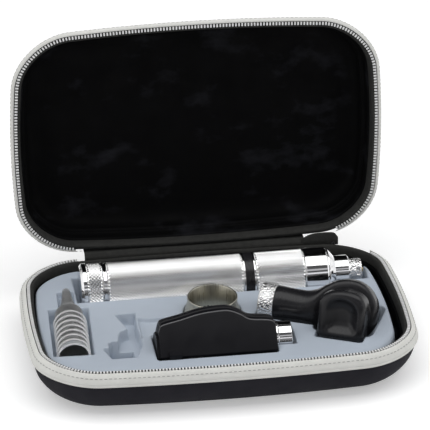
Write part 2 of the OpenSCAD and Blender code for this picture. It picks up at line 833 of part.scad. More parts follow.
// One cross-section: the toe under the leaned panel with the flat it rests on, then the rounded back, which
// follows the panel's width by a share of its own. The other numbers are shares of the depth and the sink
toe_form = [[0, 0.5], [0.1, 0.86], [0.26, 1], [0.71, 1], [0.935, 0.55], [1, 0.125]];
back_form = [[1, 0.44, 0.7], [0.935, 0.81, 0.9], [0.775, 1.125, 1]];
function oph_section(top) = concat(
    [[0, 0], oph_sink * [-0.0875, -0.044]],
    [for (p = toe_form) leaned(oph_depth * p.x, -oph_sink * p.y)],
    [for (p = back_form) leaned(oph_depth * p.x, oph_sink * p.y) + [(top - oph_panel) * p.z, 0]],
    [[top, 0] + oph_sink * [0.1875, -0.225], [top, 0]]
);
// Where the cross-sections stand, as shares of the length, and how wide their panel is
oph_form = [[0, 0.615], [0.038, 0.76], [0.37, 0.96], [0.554, 1], [0.63, 0.975], [0.708, 0.885],
            [0.785, 0.76], [0.923, 0.72], [1, 0.615]];
module oph_body() {
    skin([for (f = oph_form) [for (q = oph_section(f[1] * oph_panel)) [f[0] * oph_len, q[0], q[1]]]]);
}
wheel_x = 30;
wheel_w = 18;
wheel_z = -12;
axle_r = 1.5;
post_floor = 1;
module at_wheel() {
    oph() translate([wheel_x, wheel_w, wheel_z]) children();
}
dial_x = 19.4;
dial_w = 2.2;
dial_r = 4.8;
dial_t = 1.8;
lever_x = 8.1;
lever_len = 6.8;
lever_t = 2.2;
lever_z = 0.6;
lever_out = 2.2;
lever_in = 3.4;
lever_travel = 2;
module lever_slot() {
    oph_upright()
        translate([lever_x - lever_len / 2 - lever_travel - soft_gap, -2 * lever_out, lever_z - soft_gap])
            cube([lever_len + 2 * (lever_travel + soft_gap), lever_in + 3 * lever_out,
                  lever_t + 2 * soft_gap]);
}
// Everything on the panel's side of a plane that lies deep under it, or the rest
module panel_side(deep, over) {
    reach = 2 * oph_len;
    translate([-cut, -oph_len, over ? -deep : -deep - reach])
        cube([oph_len + 2 * cut, reach, reach]);
}
module wheel_room(r) {
    at_wheel()
        translate([0, 0, -wheel_t / 2 - soft_gap])
            cylinder(r = r, h = wheel_t + 2 * soft_gap);
}
module at_lamp() {
    oph_upright()
        translate([oph_len + post_floor, post_y, post_z])
            rotate([0, -90, 0])
                children();
}
module oph_housing() {
    color([0.08, 0.08, 0.09]) {
        difference() {
            oph()
                intersection() {
                    oph_body();
                    panel_side(cover_t + turn_fit, false);
                }
            wheel_room(wheel_r + soft_gap);
            lever_slot();
            at_lamp() cylinder(r = lamp_r + turn_fit, h = lamp_len + rest_gap);
        }
        wheel_room(axle_r);
    }
}
module oph_lamp() {
    color([0.86, 0.85, 0.78]) at_lamp() lamp();
}
module oph_cover() {
    color([0.1, 0.1, 0.11])
        difference() {
            oph()
                intersection() {
                    oph_body();
                    panel_side(cover_t, true);
                }
            oph() translate([dial_x, dial_w, -cover_t - cut]) cylinder(r = dial_r + soft_gap, h = oph_sink);
            at_glass() cylinder(r = glass_r + turn_fit, h = 2);
            lever_slot();
        }
}
module oph_aperture_dial() {
    color([0.2, 0.2, 0.21])
        oph()
            translate([dial_x, dial_w, -cover_t + rest_gap / 2])
                difference() {
                    cylinder(r = dial_r, h = dial_t);
                    for (a = [0 : 72 : 288])
                        rotate([0, 0, a])
                            translate([dial_r * 0.6, 0, dial_t / 3]) cylinder(r = dial_r / 6, h = dial_t);
                }
}
glass_r = 2.2;
glass_t = 0.6;
module at_glass() {
    oph() translate([oph_len * 0.62, oph_panel * 0.45, -glass_t]) children();
}
module oph_window() {
    color([0.5, 0.55, 0.6, 0.6]) at_glass() cylinder(r = glass_r, h = glass_t - 0.1);
}
module oph_filter_lever() {
    color([0.12, 0.12, 0.13])
        oph_upright()
            translate([lever_x - lever_len / 2, -lever_out, lever_z])
                cube([lever_len, lever_out + lever_in, lever_t]);
}
module oph_lens_wheel() {
    notch = 0.6;
    color([0.16, 0.16, 0.17])
        at_wheel()
            translate([0, 0, -wheel_t / 2])
                linear_extrude(wheel_t)
                    difference() {
                        polygon([for (i = [0 : 2 * wheel_teeth - 1])
                            let (r = wheel_r - (i % 2) * notch, a = 180 * i / wheel_teeth)
                                [r * cos(a), r * sin(a)]]);
                        circle(r = axle_r + turn_fit);
                    }
}
module oph_post() {
    flange = 1.4;
    step = 0.5;
    color([0.86, 0.86, 0.88])
        difference() {
            oph_upright()
                translate([oph_len, post_y, post_z])
                    rotate([0, 90, 0])
                        turned([[0, 0], [post_r, 0], [post_r, flange], [post_r - step, flange + step],
                                [post_r - step, post_len - step], [post_r - 2 * step, post_len],
                                [socket_bore, post_len], [socket_bore, post_floor], [0, post_floor]]);
            at_lamp() translate([0, 0, -cut]) cylinder(r = lamp_r + turn_fit, h = lamp_len);
        }
}
// Brow rest: a smaller slice of the same cross-section on the closed end
module oph_brow_rest() {
    rest_t = 1.3;
    share = 0.8;
    color([0.13, 0.13, 0.13])
        oph()
            translate([-rest_t, 0, 0])
                skin([for (x = [0, rest_t]) [for (q = oph_section(oph_form[0][1] * oph_panel))
                    [x, q[0] * share + oph_depth * 0.032, q[1] * share - oph_sink * 0.1875]]]);
}

// Threaded adapter ring, standing in its own round pocket
ring_x = -2.4;
ring_y = -0.5;
ring_stand = 9.6;
ring_z = tray_top + ring_stand - ring_h;
module adapter_ring() {
    lip = 1.6;
    edge = 0.3;
    color([0.7, 0.69, 0.64])
        translate([ring_x, ring_y, ring_z])
            turned([[ring_bore, 0], [ring_foot_r, 0], [ring_foot_r, ring_h * 0.35],
                    [ring_r - 2 * edge, ring_h - lip - 2 * edge], [ring_r, ring_h - lip],
                    [ring_r, ring_h - edge], [ring_r - edge, ring_h], [ring_bore + edge, ring_h],
                    [ring_bore, ring_h - edge]]);
}

// Nest of ear specula: each slides into the open end of the one before it
nest_x = -case_w / 2 + 23.3;
nest_y = 32;
nest_rise = 1.4;
nest_pitch = 3;
lip_h = 0.5;
nest_yaw = 2.2;
specula = 8;
nest_len = speculum_len + (specula - 1) * nest_step;
module nest() {
    translate([nest_x, nest_y, tray_top + nest_rise])
        rotate([0, 0, -nest_yaw])
            rotate([90 + nest_pitch, 0, 0])
                children();
}
module speculum(i) {
    shoulder = speculum_len * 0.5;
    flare = speculum_len * 0.71;
    rim = 1.4;
    nose = 2.1;
    waist = 4.1;
    bell = speculum_r * 0.875;
    outer = [[nose, 0], [waist, shoulder], [bell, flare], [speculum_r * 0.98, speculum_len - rim],
             [speculum_r + lip_h, speculum_len - rim], [speculum_r + lip_h, speculum_len]];
    inner = [[speculum_r - speculum_wall, speculum_len], [bell - speculum_wall, flare],
             [waist - speculum_wall, shoulder], [nose - speculum_wall, 0]];
    color([0.93, 0.94, 0.95, 0.8])
        nest()
            translate([0, 0, i * nest_step])
                turned(concat(outer, inner));
}
module speculum_1() { speculum(0); }
module speculum_2() { speculum(1); }
module speculum_3() { speculum(2); }
module speculum_4() { speculum(3); }
module speculum_5() { speculum(4); }
module speculum_6() { speculum(5); }
module speculum_7() { speculum(6); }
module speculum_8() { speculum(7); }

// Fitted tray: its side rings run from the floor up, each with its inset, its front inset and its height
tray_low = shell_wall + lining_t + 2 * soft_gap;
tray_left = -case_w / 2 + tray_gap_left;
tray_right = case_w / 2 - tray_gap_right;
tray_back = case_d / 2 - hinge_relief - tray_gap_back;
tray_corner_in = 5;
tray_front = tray_gap_left;
tray_form = [[0.575, 0.6, 0], [0.4, 0.385, 0.08], [0.23, 0.24, 0.23], [0.06, 0.06, 0.43], [0, 0, 0.655]];
tray_edge = [[0, 0.05, 0.79], [0, 0.2, 0.9], [0.01, 0.43, 0.97], [0.06, 0.935, 1]];
function tray_ring(in, front, z) =
    let (w = tray_right - tray_left - 2 * in,
         y0 = -case_d / 2 + tray_front + front, y1 = tray_back - in,
         x = (tray_left + tray_right) / 2, y = (y0 + y1) / 2, d = y1 - y0)
        [for (p = plain_outline(w, d, corner_r - tray_corner_in - in))
            let (q = bowed(p, w, d)) [q.x + x, q.y + y, z]];
module tray_block() {
    rise = tray_top - tray_low;
    skin([
        for (f = tray_form) tray_ring(f[0] * edge_run, f[1] * edge_run, tray_low + f[2] * rise),
        for (f = tray_edge) tray_ring(f[0] * tray_roll, f[1] * tray_roll, tray_low + f[2] * rise)
    ]);
}

// Pockets for the handle, the nest of specula, the ring and the two heads
end_room = 2.8;
side_room = 0.5;
module handle_pocket() {
    along_x(handle_x - end_room)
        cylinder(r = tube_r + knurl_h + pocket_fit, h = neck_x - handle_x + end_room);
    along_x(neck_x - cut) cylinder(r = neck_r + 2 * side_room, h = tip_end - neck_x + 3 * cut);
}
module specula_pocket() {
    room = 1.8;
    half = speculum_r + lip_h + room;
    tip_left = 5.2;
    tip_right = 4;
    // Narrow beside the handle's pocket, then a little wider: where each stretch starts and what it adds
    widening = [[-room, 0], [speculum_len * 0.36, 1]];
    nest() {
        translate([-half, -speculum_r - lip_h - pocket_fit, speculum_len / 2])
            cube([2 * half, cut_up, nest_len - speculum_len / 2 + room / 2]);
        for (w = widening)
            translate([-tip_left, -tip_left, w[0]])
                cube([tip_left + tip_right + w[1], cut_up, speculum_len / 2 + room - w[0]]);
    }
}
module ring_pocket() {
    translate([ring_x, ring_y, ring_z - pocket_fit])
        cylinder(r = ring_foot_r + side_room, h = cut_up);
}
module oto_pocket() {
    play = 0.6;
    corner_cut = 5;
    x = barrel_r + play;
    y = barrel_r + side_room;
    oto() {
        translate([-3 * side_room, -socket_r - side_room, -socket_r - pocket_fit])
            cube([barrel_x - barrel_r + corner_cut, 2 * (socket_r + side_room), cut_up]);
        translate([barrel_x, 0, barrel_rise - barrel_r - pocket_fit - tilt_room])
            linear_extrude(cut_up)
                polygon([[-x, -y], [x, -y], [x, barrel_r - corner_cut], [x - corner_cut, y + tilt_room * 2],
                         [corner_cut - x, y + tilt_room * 2], [-x, barrel_r - corner_cut]]);
        translate([barrel_x - eye_w / 2 - side_room, -eye_reach, -eye_down])
            cube([eye_w + 2 * side_room, eye_reach, cut_up]);
        translate([barrel_x - nose_r - play, 0, -nose_down])
            cube([2 * (nose_r + play), nose_reach, cut_up]);
        translate([barrel_x - port_room, 0, -port_down])
            cube([2 * port_room, nose_r + port_room, cut_up]);
    }
}
module oph_pocket() {
    end = 2;
    oph_upright() {
        translate([-end, -end * 0.8, -oph_sink - pocket_fit])
            cube([oph_len + end + side_room, oph_depth + end * 0.8 + side_room, cut_up]);
        translate([oph_len, post_y - post_r - side_room, post_z - post_r - pocket_fit])
            cube([post_len + end, 2 * (post_r + side_room), cut_up]);
    }
}
// Pocket for spares with a deeper well, and the shallow shelf beside it; outlines are shares of their sizes
spare_at = [-67.5, -46.4];
spare_w = 23;
spare_d = 50;
spare_form = [
    [0.46, 0.985], [0.95, 1], [0.915, 0.71], [0.96, 0.42], [0.93, 0.27], [0.745, 0.01],
    [0.135, 0.03], [0, 0.21], [0.01, 0.26], [0.18, 0.27],
    [0.21, 0.39], [0.38, 0.395], [0.42, 0.52], [0.49, 0.6], [0.67, 0.65]
];
well_w = 14;
well_d = 18;
shelf_at = [-45.4, -24.6];
shelf_w = 16;
shelf_d = 22.8;
shelf_depth = 2.5;
shelf_form = [[0, 0], [0.02, 0.98], [0.45, 0.9], [1, 0.93], [1, 0.2], [0.8, 0]];
module outline_cut(at, size, form, depth) {
    translate([at.x, at.y, tray_top - depth])
        linear_extrude(cut_up)
            polygon([for (p = form) [p.x * size.x, p.y * size.y]]);
}
module spare_pocket() {
    outline_cut(spare_at, [spare_w, spare_d], spare_form, spare_depth);
    outline_cut(shelf_at, [shelf_w, shelf_d], shelf_form, shelf_depth);
    translate([spare_at.x + 3, spare_at.y + side_room, tray_top - well_depth])
        cube([well_w, well_d, cut_up]);
}
module instrument_tray() {
    color([0.58, 0.64, 0.7])
        difference() {
            tray_block();
            handle_pocket();
            specula_pocket();
            ring_pocket();
            oto_pocket();
            oph_pocket();
            spare_pocket();
        }
}

base_shell();
base_lining();
instrument_tray();
base_zip_tape();
base_zip_teeth();
base_hinge_strip();
zip_slider();
zip_end_stop();
zip_pull();
lid_shell();
lid_lining();
lid_zip_tape();
lid_zip_teeth();
lid_hinge_strip();
battery_tube();
groove_ring();
battery();
battery_spring();
insulator_ring();
top_collar();
bayonet_neck();
end_cap();
end_cap_rim();
brightness_sleeve();
lock_button();
contact_pin();
oto_socket_ring();
oto_neck();
oto_barrel();
oto_eyepiece();
oto_window();
oto_nose_cone();
oto_air_port();
oto_lamp();
oto_focus_ring();
oph_housing();
oph_cover();
oph_window();
oph_brow_rest();
oph_post();
oph_lamp();
oph_lens_wheel();
oph_aperture_dial();
oph_filter_lever();
adapter_ring();
speculum_1();
speculum_2();
speculum_3();
speculum_4();
speculum_5();
speculum_6();
speculum_7();
speculum_8();
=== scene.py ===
# Looks of the otoscope carry case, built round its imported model.
# Sizes in the dictionaries are millimetres in the model's own frame; meshes are made in metres.
import math

import bmesh
import bpy
import numpy as np
from mathutils import Matrix, Vector


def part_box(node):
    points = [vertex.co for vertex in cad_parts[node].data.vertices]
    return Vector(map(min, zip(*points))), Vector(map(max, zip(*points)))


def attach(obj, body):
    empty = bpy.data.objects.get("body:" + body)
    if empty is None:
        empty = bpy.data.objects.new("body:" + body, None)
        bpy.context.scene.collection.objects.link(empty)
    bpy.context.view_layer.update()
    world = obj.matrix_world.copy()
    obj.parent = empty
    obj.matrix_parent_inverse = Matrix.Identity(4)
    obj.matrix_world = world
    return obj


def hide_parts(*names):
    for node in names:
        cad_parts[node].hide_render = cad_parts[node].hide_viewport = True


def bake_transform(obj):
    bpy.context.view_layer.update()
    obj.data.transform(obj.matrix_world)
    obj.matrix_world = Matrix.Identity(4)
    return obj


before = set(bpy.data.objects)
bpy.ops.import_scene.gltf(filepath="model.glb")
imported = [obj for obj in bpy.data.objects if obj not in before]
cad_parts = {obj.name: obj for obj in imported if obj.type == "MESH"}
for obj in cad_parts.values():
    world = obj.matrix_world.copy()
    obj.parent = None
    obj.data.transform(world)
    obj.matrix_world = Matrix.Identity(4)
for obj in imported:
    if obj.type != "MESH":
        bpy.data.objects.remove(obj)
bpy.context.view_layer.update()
scene = bpy.context.scene
mm = 0.001


def cadBounds(*nodes):
    # Lowest and highest corners of CAD nodes, in millimetres
    corners = [np.array(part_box(n)) / mm for n in nodes]
    return np.min([c[0] for c in corners], axis=0), np.max([c[1] for c in corners], axis=0)


# Curves and meshes

def smoothLine(points, steps):
    # Catmull-Rom line through a few given points
    p = np.array(points, float)
    p = np.vstack([2 * p[0] - p[1], p, 2 * p[-1] - p[-2]])
    line = []
    for i in range(1, len(p) - 2):
        for t in np.arange(steps) / steps:
            a, b, c, d = p[i - 1:i + 3]
            line.append(0.5 * (2 * b + (c - a) * t + (2 * a - 5 * b + 4 * c - d) * t ** 2
                               + (3 * b - a - 3 * c + d) * t ** 3))
    line.append(p[-2])
    return np.array(line)


def filleted(points, radius, steps=5):
    # Polyline whose inner corners are rounded; radius is one value or one for each point
    p = [np.array(q, float) for q in points]
    radii = radius if isinstance(radius, (list, tuple)) else [radius] * len(p)
    line = [p[0]]
    for i in range(1, len(p) - 1):
        before, after = p[i - 1] - p[i], p[i + 1] - p[i]
        la, lb = np.linalg.norm(before), np.linalg.norm(after)
        u, v = before / la, after / lb
        angle = math.acos(max(-1, min(1, float(u @ v))))
        if radii[i] <= 0 or angle < math.radians(4):
            line.append(p[i])
            continue
        if angle > math.radians(176):   # nearly straight: the same count of points, without an arc
            reach = min(radii[i], la * 0.3, lb * 0.3)
            line += [p[i] + (u if 2 * k < steps else v) * reach * abs(1 - 2 * k / steps) for k in range(steps + 1)]
            continue
        cut = min(radii[i] / math.tan(angle / 2), la * 0.48, lb * 0.48)
        r = cut * math.tan(angle / 2)
        centre = p[i] + (u + v) / np.linalg.norm(u + v) * (r / math.sin(angle / 2))
        first, last = p[i] + u * cut - centre, p[i] + v * cut - centre
        sweep = math.acos(max(-1, min(1, float(first @ last) / (r * r))))
        for k in range(steps + 1):
            t = k / steps
            arc = (math.sin((1 - t) * sweep) * first + math.sin(t * sweep) * last) / max(math.sin(sweep), 1e-9)
            line.append(centre + arc)
    line.append(p[-1])
    return np.array(line)


def lengths(points, closed=False):
    p = np.array(points)
    step = np.linalg.norm(np.diff(p, axis=0), axis=1)
    run = np.concatenate([[0], np.cumsum(step)])
    return np.append(run, run[-1] + np.linalg.norm(p[0] - p[-1])) if closed else run


def loft(rings, loop=False, capStart=False, capEnd=False, closed=True):
    # Quads between rings of equal count, with UVs in millimetres along the ring and across the rings
    n, count = len(rings[0]), len(rings)
    verts = np.vstack(rings)
    middle = rings[count // 2]
    s = lengths(middle, closed=True)
    t = lengths([r[0] for r in rings], closed=loop)
    faces, uvs = [], []
    for i in range(count if loop else count - 1):
        a, b = i * n, ((i + 1) % count) * n
        for j in range(n if closed else n - 1):
            k = (j + 1) % n
            faces.append((a + j, a + k, b + k, b + j))
            uvs.append(((s[j], t[i]), (s[j + 1], t[i]), (s[j + 1], t[i + 1]), (s[j], t[i + 1])))
    for wanted, start in ((capStart, 0), (capEnd, (count - 1) * n)):
        if wanted:
            faces.append(tuple(range(start, start + n)))
            uvs.append(tuple((verts[v][0], verts[v][1]) for v in faces[-1]))
    return verts, faces, uvs


def addPiece(name, data, body, finish, replaced=(), place=None, sharp=None):
    verts, faces, uvs = data
    mesh = bpy.data.meshes.new(name)
    mesh.from_pydata([tuple(v) for v in np.asarray(verts, float) * mm], [], faces)
    if uvs:
        layer = mesh.uv_layers.new(name="millimetres")
        layer.data.foreach_set("uv", [c for face in uvs for corner in face for c in corner])
    built = bmesh.new()
    built.from_mesh(mesh)
    bmesh.ops.recalc_face_normals(built, faces=built.faces)
    built.to_mesh(mesh)
    built.free()
    if place is not None:
        mesh.transform(place)
    mesh.polygons.foreach_set("use_smooth", [True] * len(mesh.polygons))
    if sharp is not None:
        mesh.set_sharp_from_angle(angle=math.radians(sharp))
    mesh.materials.append(finish)
    piece = bpy.data.objects.new(name, mesh)
    scene.collection.objects.link(piece)
    if body:
        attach(piece, body)
    if replaced:
        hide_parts(*replaced)
    return piece


def joined(parts):
    # Several (verts, faces, uvs) sets as one
    verts, faces, uvs = [], [], []
    for v, f, u in parts:
        start = sum(len(x) for x in verts)
        verts.append(np.asarray(v, float))
        faces += [tuple(i + start for i in face) for face in f]
        uvs += u
    return np.vstack(verts), faces, uvs


def turned(profile, sides=96, loop=False):
    # Lathe round local Z; the profile holds (radius, height)
    profile = np.array(profile, float)
    angles = np.arange(sides) * 2 * math.pi / sides
    rings = [np.stack([r * np.cos(angles), r * np.sin(angles), np.full(sides, h)], axis=1) for r, h in profile]
    return loft(rings, loop=loop, capStart=not loop, capEnd=not loop)


def placed(origin, *turns):
    # Matrix in metres: each turn is (axis letter, degrees), the first one outermost
    matrix = Matrix.Translation(Vector(origin) * mm)
    for axis, degrees in turns:
        matrix = matrix @ Matrix.Rotation(math.radians(degrees), 4, axis)
    return matrix


# Materials: every one works in object or UV space, in millimetres

class Finish:
    def __init__(self, name, color, roughness, metallic=0.0, **sockets):
        self.material = bpy.data.materials.new(name)
        self.material.use_nodes = True
        self.nodes = self.material.node_tree.nodes
        self.links = self.material.node_tree.links
        self.shader = self.nodes["Principled BSDF"]
        self.set("Base Color", (*color, 1))
        self.set("Roughness", roughness)
        self.set("Metallic", metallic)
        for socket, value in sockets.items():
            self.set(socket.replace("_", " "), value)
        self.height = None

    def set(self, socket, value):
        self.shader.inputs[socket].default_value = value

    def add(self, kind, inputs=None, **settings):
        node = self.nodes.new(kind)
        for key, value in settings.items():
            setattr(node, key, value)
        for key, value in (inputs or {}).items():
            if isinstance(value, bpy.types.NodeSocket):
                self.links.new(value, node.inputs[key])
            else:
                node.inputs[key].default_value = value
        return node

    def space(self, uv=False, scale=(1, 1, 1)):
        # Object space in millimetres, or the piece's own UVs
        coordinates = self.add("ShaderNodeTexCoord")
        factor = 1 if uv else 1 / mm
        mapping = self.add("ShaderNodeMapping", {"Vector": coordinates.outputs["UV" if uv else "Object"],
                                                 "Scale": tuple(factor * s for s in scale)})
        return mapping.outputs["Vector"]

    def noise(self, vector, size, detail=3.0, roughness=0.5):
        # size: how wide one blotch is, in millimetres
        return self.add("ShaderNodeTexNoise", {"Vector": vector, "Scale": 1 / size, "Detail": detail,
                                               "Roughness": roughness}).outputs["Fac"]

    def wave(self, vector, pitch, direction="X", profile="SIN", distortion=0.0):
        return self.add("ShaderNodeTexWave", {"Vector": vector, "Scale": math.pi / 10 / pitch,
                                              "Distortion": distortion},
                        wave_type="BANDS", bands_direction=direction, wave_profile=profile).outputs["Fac"]

    def math(self, operation, a, b=0.0):
        node = self.add("ShaderNodeMath", operation=operation)
        for socket, value in zip(node.inputs, (a, b)):
            if isinstance(value, bpy.types.NodeSocket):
                self.links.new(value, socket)
            else:
                socket.default_value = value
        return node.outputs[0]

    def remap(self, value, low, high, toLow, toHigh):
        return self.add("ShaderNodeMapRange", {"Value": value, "From Min": low, "From Max": high,
                                               "To Min": toLow, "To Max": toHigh}).outputs["Result"]

    def blend(self, factor, dark, light, socket="Base Color"):
        mix = self.add("ShaderNodeMix", data_type="RGBA")
        self.links.new(factor, mix.inputs["Factor"])
        mix.inputs["A"].default_value = (*dark, 1)
        mix.inputs["B"].default_value = (*light, 1)
        self.links.new(mix.outputs["Result"], self.shader.inputs[socket])

    def drive(self, socket, value):
        self.links.new(value, self.shader.inputs[socket])

    def bump(self, height, depth, strength=1.0):
        # depth: how far the relief reaches, in millimetres
        node = self.add("ShaderNodeBump", {"Height": height, "Distance": depth * mm, "Strength": strength})
        if self.height is not None:
            self.links.new(self.height, node.inputs["Normal"])
        self.height = node.outputs["Normal"]
        self.links.new(self.height, self.shader.inputs["Normal"])


def shellCloth():
    f = Finish("shellCloth", (0.016, 0.0155, 0.0205), 0.85, Specular_IOR_Level=0.15)
    uv = f.space(uv=True)
    weave = f.math("MULTIPLY", f.wave(uv, 0.55, "X"), f.wave(uv, 0.55, "Y"))
    f.blend(f.noise(f.space(), 9, 5), (0.0135, 0.0132, 0.0175), (0.0185, 0.018, 0.0235))
    f.drive("Roughness", f.remap(f.noise(f.space(), 14, 4), 0.3, 0.7, 0.7, 0.9))
    f.bump(weave, 0.12, 0.7)
    f.bump(f.noise(f.space(), 2.2, 2), 0.1, 0.35)
    return f.material


def velour():
    f = Finish("velour", (0.0045, 0.0045, 0.005), 0.7, Specular_IOR_Level=0.05)
    spot = f.noise(f.space(scale=(1, 1, 1.6)), 34, 6, 0.62)
    marks = f.remap(spot, 0.54, 0.72, 0, 1)
    f.blend(marks, (0.0026, 0.0026, 0.0028), (0.016, 0.0165, 0.020))
    f.drive("Roughness", f.remap(f.noise(f.space(), 16, 5), 0.3, 0.75, 0.8, 0.5))
    f.bump(f.noise(f.space(), 0.5, 2), 0.08, 0.4)
    f.bump(f.noise(f.space(), 18, 4, 0.6), 0.9, 0.35)
    return f.material


def bindingCloth():
    f = Finish("bindingCloth", (0.032, 0.032, 0.030), 0.9, Specular_IOR_Level=0.2)
    uv = f.space(uv=True)
    rib = f.math("MULTIPLY", f.wave(uv, 0.8, "DIAGONAL"), f.wave(uv, 0.5, "Y"))
    f.blend(f.noise(f.space(), 2.5, 4), (0.018, 0.018, 0.017), (0.048, 0.048, 0.045))
    f.bump(rib, 0.14, 0.8)
    f.bump(f.noise(f.space(), 3, 3), 0.3, 0.5)
    return f.material


def tapeCloth():
    f = Finish("tapeCloth", (0.74, 0.74, 0.70), 0.85, Specular_IOR_Level=0.2)
    uv = f.space(uv=True)
    ribs = f.math("ADD", f.wave(uv, 0.62, "X"), f.math("MULTIPLY", f.wave(uv, 0.42, "Y"), 0.6))
    f.blend(f.noise(f.space(), 7, 4, 0.6), (0.66, 0.66, 0.63), (0.80, 0.80, 0.765))
    f.bump(ribs, 0.1, 0.55)
    f.bump(f.noise(f.space(), 5, 2), 0.2, 0.3)
    return f.material


def tapeThread():
    f = Finish("tapeThread", (0.36, 0.36, 0.35), 0.85, Specular_IOR_Level=0.2)
    f.blend(f.noise(f.space(), 2, 3), (0.28, 0.28, 0.275), (0.44, 0.44, 0.43))
    f.bump(f.noise(f.space(), 0.3, 2), 0.04, 0.6)
    return f.material


def zipTeethPlastic():
    f = Finish("zipTeethPlastic", (0.86, 0.86, 0.86), 0.34)
    f.blend(f.noise(f.space(), 3, 2), (0.80, 0.80, 0.79), (0.90, 0.90, 0.90))
    f.bump(f.noise(f.space(), 0.6, 2), 0.03, 0.4)
    return f.material


def trayPlastic():
    f = Finish("trayPlastic", (0.44, 0.495, 0.565), 0.5, Specular_IOR_Level=0.3)
    f.blend(f.noise(f.space(), 26, 5, 0.55), (0.415, 0.465, 0.53), (0.47, 0.525, 0.60))
    f.drive("Roughness", f.remap(f.noise(f.space(), 8, 4), 0.3, 0.7, 0.44, 0.6))
    f.bump(f.noise(f.space(), 0.7, 2), 0.05, 0.5)
    f.bump(f.noise(f.space(), 22, 3), 0.5, 0.25)
    return f.material


def knurledMetal():
    f = Finish("knurledMetal", (0.88, 0.88, 0.88), 0.14, 1.0)
    f.drive("Roughness", f.remap(f.noise(f.space(), 5, 4), 0.3, 0.7, 0.10, 0.19))
    f.blend(f.noise(f.space(), 12, 4), (0.83, 0.83, 0.825), (0.92, 0.92, 0.92))
    return f.material


def brightChrome():
    f = Finish("brightChrome", (0.86, 0.86, 0.87), 0.06, 1.0)
    f.drive("Roughness", f.remap(f.noise(f.space(), 4, 5, 0.6), 0.35, 0.75, 0.04, 0.13))
    f.bump(f.noise(f.space(), 6, 3), 0.03, 0.2)
    return f.material


def grainedChrome():
    f = Finish("grainedChrome", (0.82, 0.82, 0.82), 0.16, 1.0)
    grain = f.add("ShaderNodeTexVoronoi", {"Vector": f.space(), "Scale": 0.9}).outputs["Distance"]
    f.bump(grain, 0.5, 0.9)
    f.bump(f.noise(f.space(), 0.8, 3), 0.35, 0.8)
    return f.material


def glossyBlack():
    f = Finish("glossyBlack", (0.012, 0.012, 0.014), 0.28, Specular_IOR_Level=0.32)
    f.drive("Roughness", f.remap(f.noise(f.space(), 9, 5), 0.3, 0.75, 0.22, 0.36))
    f.blend(f.noise(f.space(), 14, 3), (0.010, 0.010, 0.0115), (0.015, 0.015, 0.017))
    f.bump(f.noise(f.space(), 0.35, 2), 0.015, 0.5)
    return f.material


def satinBlack():
    f = Finish("satinBlack", (0.006, 0.006, 0.008), 0.4, Specular_IOR_Level=0.2)
    f.drive("Roughness", f.remap(f.noise(f.space(), 6, 5), 0.3, 0.75, 0.34, 0.5))
    f.blend(f.noise(f.space(), 10, 3), (0.0045, 0.0045, 0.006), (0.008, 0.008, 0.0105))
    f.bump(f.noise(f.space(), 0.3, 2), 0.03, 0.6)
    return f.material


def lensGlass():
    f = Finish("lensGlass", (0.02, 0.024, 0.028), 0.05, Specular_IOR_Level=0.7, Coat_Weight=1.0)
    f.blend(f.noise(f.space(), 5, 2), (0.012, 0.015, 0.018), (0.03, 0.036, 0.042))
    return f.material


def brushedRing():
    f = Finish("brushedRing", (0.46, 0.44, 0.37), 0.3, 1.0)
    around = f.space(uv=True, scale=(1, 0.03, 1))
    f.blend(f.noise(around, 0.9, 4, 0.7), (0.34, 0.325, 0.265), (0.58, 0.56, 0.49))
    f.drive("Roughness", f.remap(f.noise(around, 0.5, 3), 0.3, 0.7, 0.24, 0.42))
    f.bump(f.noise(around, 0.4, 3), 0.04, 0.6)
    return f.material


def frostedPlastic():
    f = Finish("frostedPlastic", (0.96, 0.97, 0.98), 0.38, Subsurface_Weight=1.0, Subsurface_Scale=0.02,
               IOR=1.46)
    f.set("Subsurface Radius", (1.0, 1.0, 1.0))
    f.blend(f.noise(f.space(), 3, 3), (0.94, 0.95, 0.96), (0.98, 0.985, 0.99))
    f.drive("Roughness", f.remap(f.noise(f.space(), 4, 3), 0.3, 0.7, 0.3, 0.48))
    f.bump(f.noise(f.space(), 1.2, 2), 0.03, 0.3)
    return f.material


def lampGlass():
    f = Finish("lampGlass", (0.86, 0.85, 0.78), 0.12, Transmission_Weight=0.5, IOR=1.46)
    f.blend(f.noise(f.space(), 2, 2), (0.80, 0.79, 0.72), (0.90, 0.89, 0.83))
    return f.material


# Painted highlight: a light grey finish for the bead along the ophthalmoscope panel's upper edge, standing in for the
# light that the cover's bevel catches
def paintedEdgeHighlight():
    f = Finish("paintedEdgeHighlight", (0.12, 0.12, 0.125), 0.42)
    f.blend(f.noise(f.space(), 5, 4, 0.6), (0.085, 0.085, 0.09), (0.16, 0.16, 0.165))
    f.bump(f.noise(f.space(), 0.4, 2), 0.02, 0.5)
    return f.material


def zipMetal():
    f = Finish("zipMetal", (0.42, 0.42, 0.44), 0.24, 1.0)
    f.blend(f.noise(f.space(), 3, 4), (0.34, 0.34, 0.36), (0.5, 0.5, 0.52))
    f.drive("Roughness", f.remap(f.noise(f.space(), 2, 4), 0.3, 0.7, 0.18, 0.34))
    return f.material


def brassMetal():
    f = Finish("brassMetal", (0.72, 0.56, 0.28), 0.22, 1.0)
    f.blend(f.noise(f.space(), 1, 4), (0.62, 0.47, 0.22), (0.78, 0.62, 0.33))
    return f.material


def greenButton():
    f = Finish("greenButton", (0.02, 0.13, 0.05), 0.3, Coat_Weight=0.4)
    f.blend(f.noise(f.space(), 2, 2), (0.016, 0.11, 0.042), (0.025, 0.15, 0.06))
    return f.material


def cellWrap():
    f = Finish("cellWrap", (0.03, 0.034, 0.038), 0.4)
    f.blend(f.noise(f.space(), 9, 3), (0.025, 0.028, 0.032), (0.036, 0.041, 0.046))
    return f.material


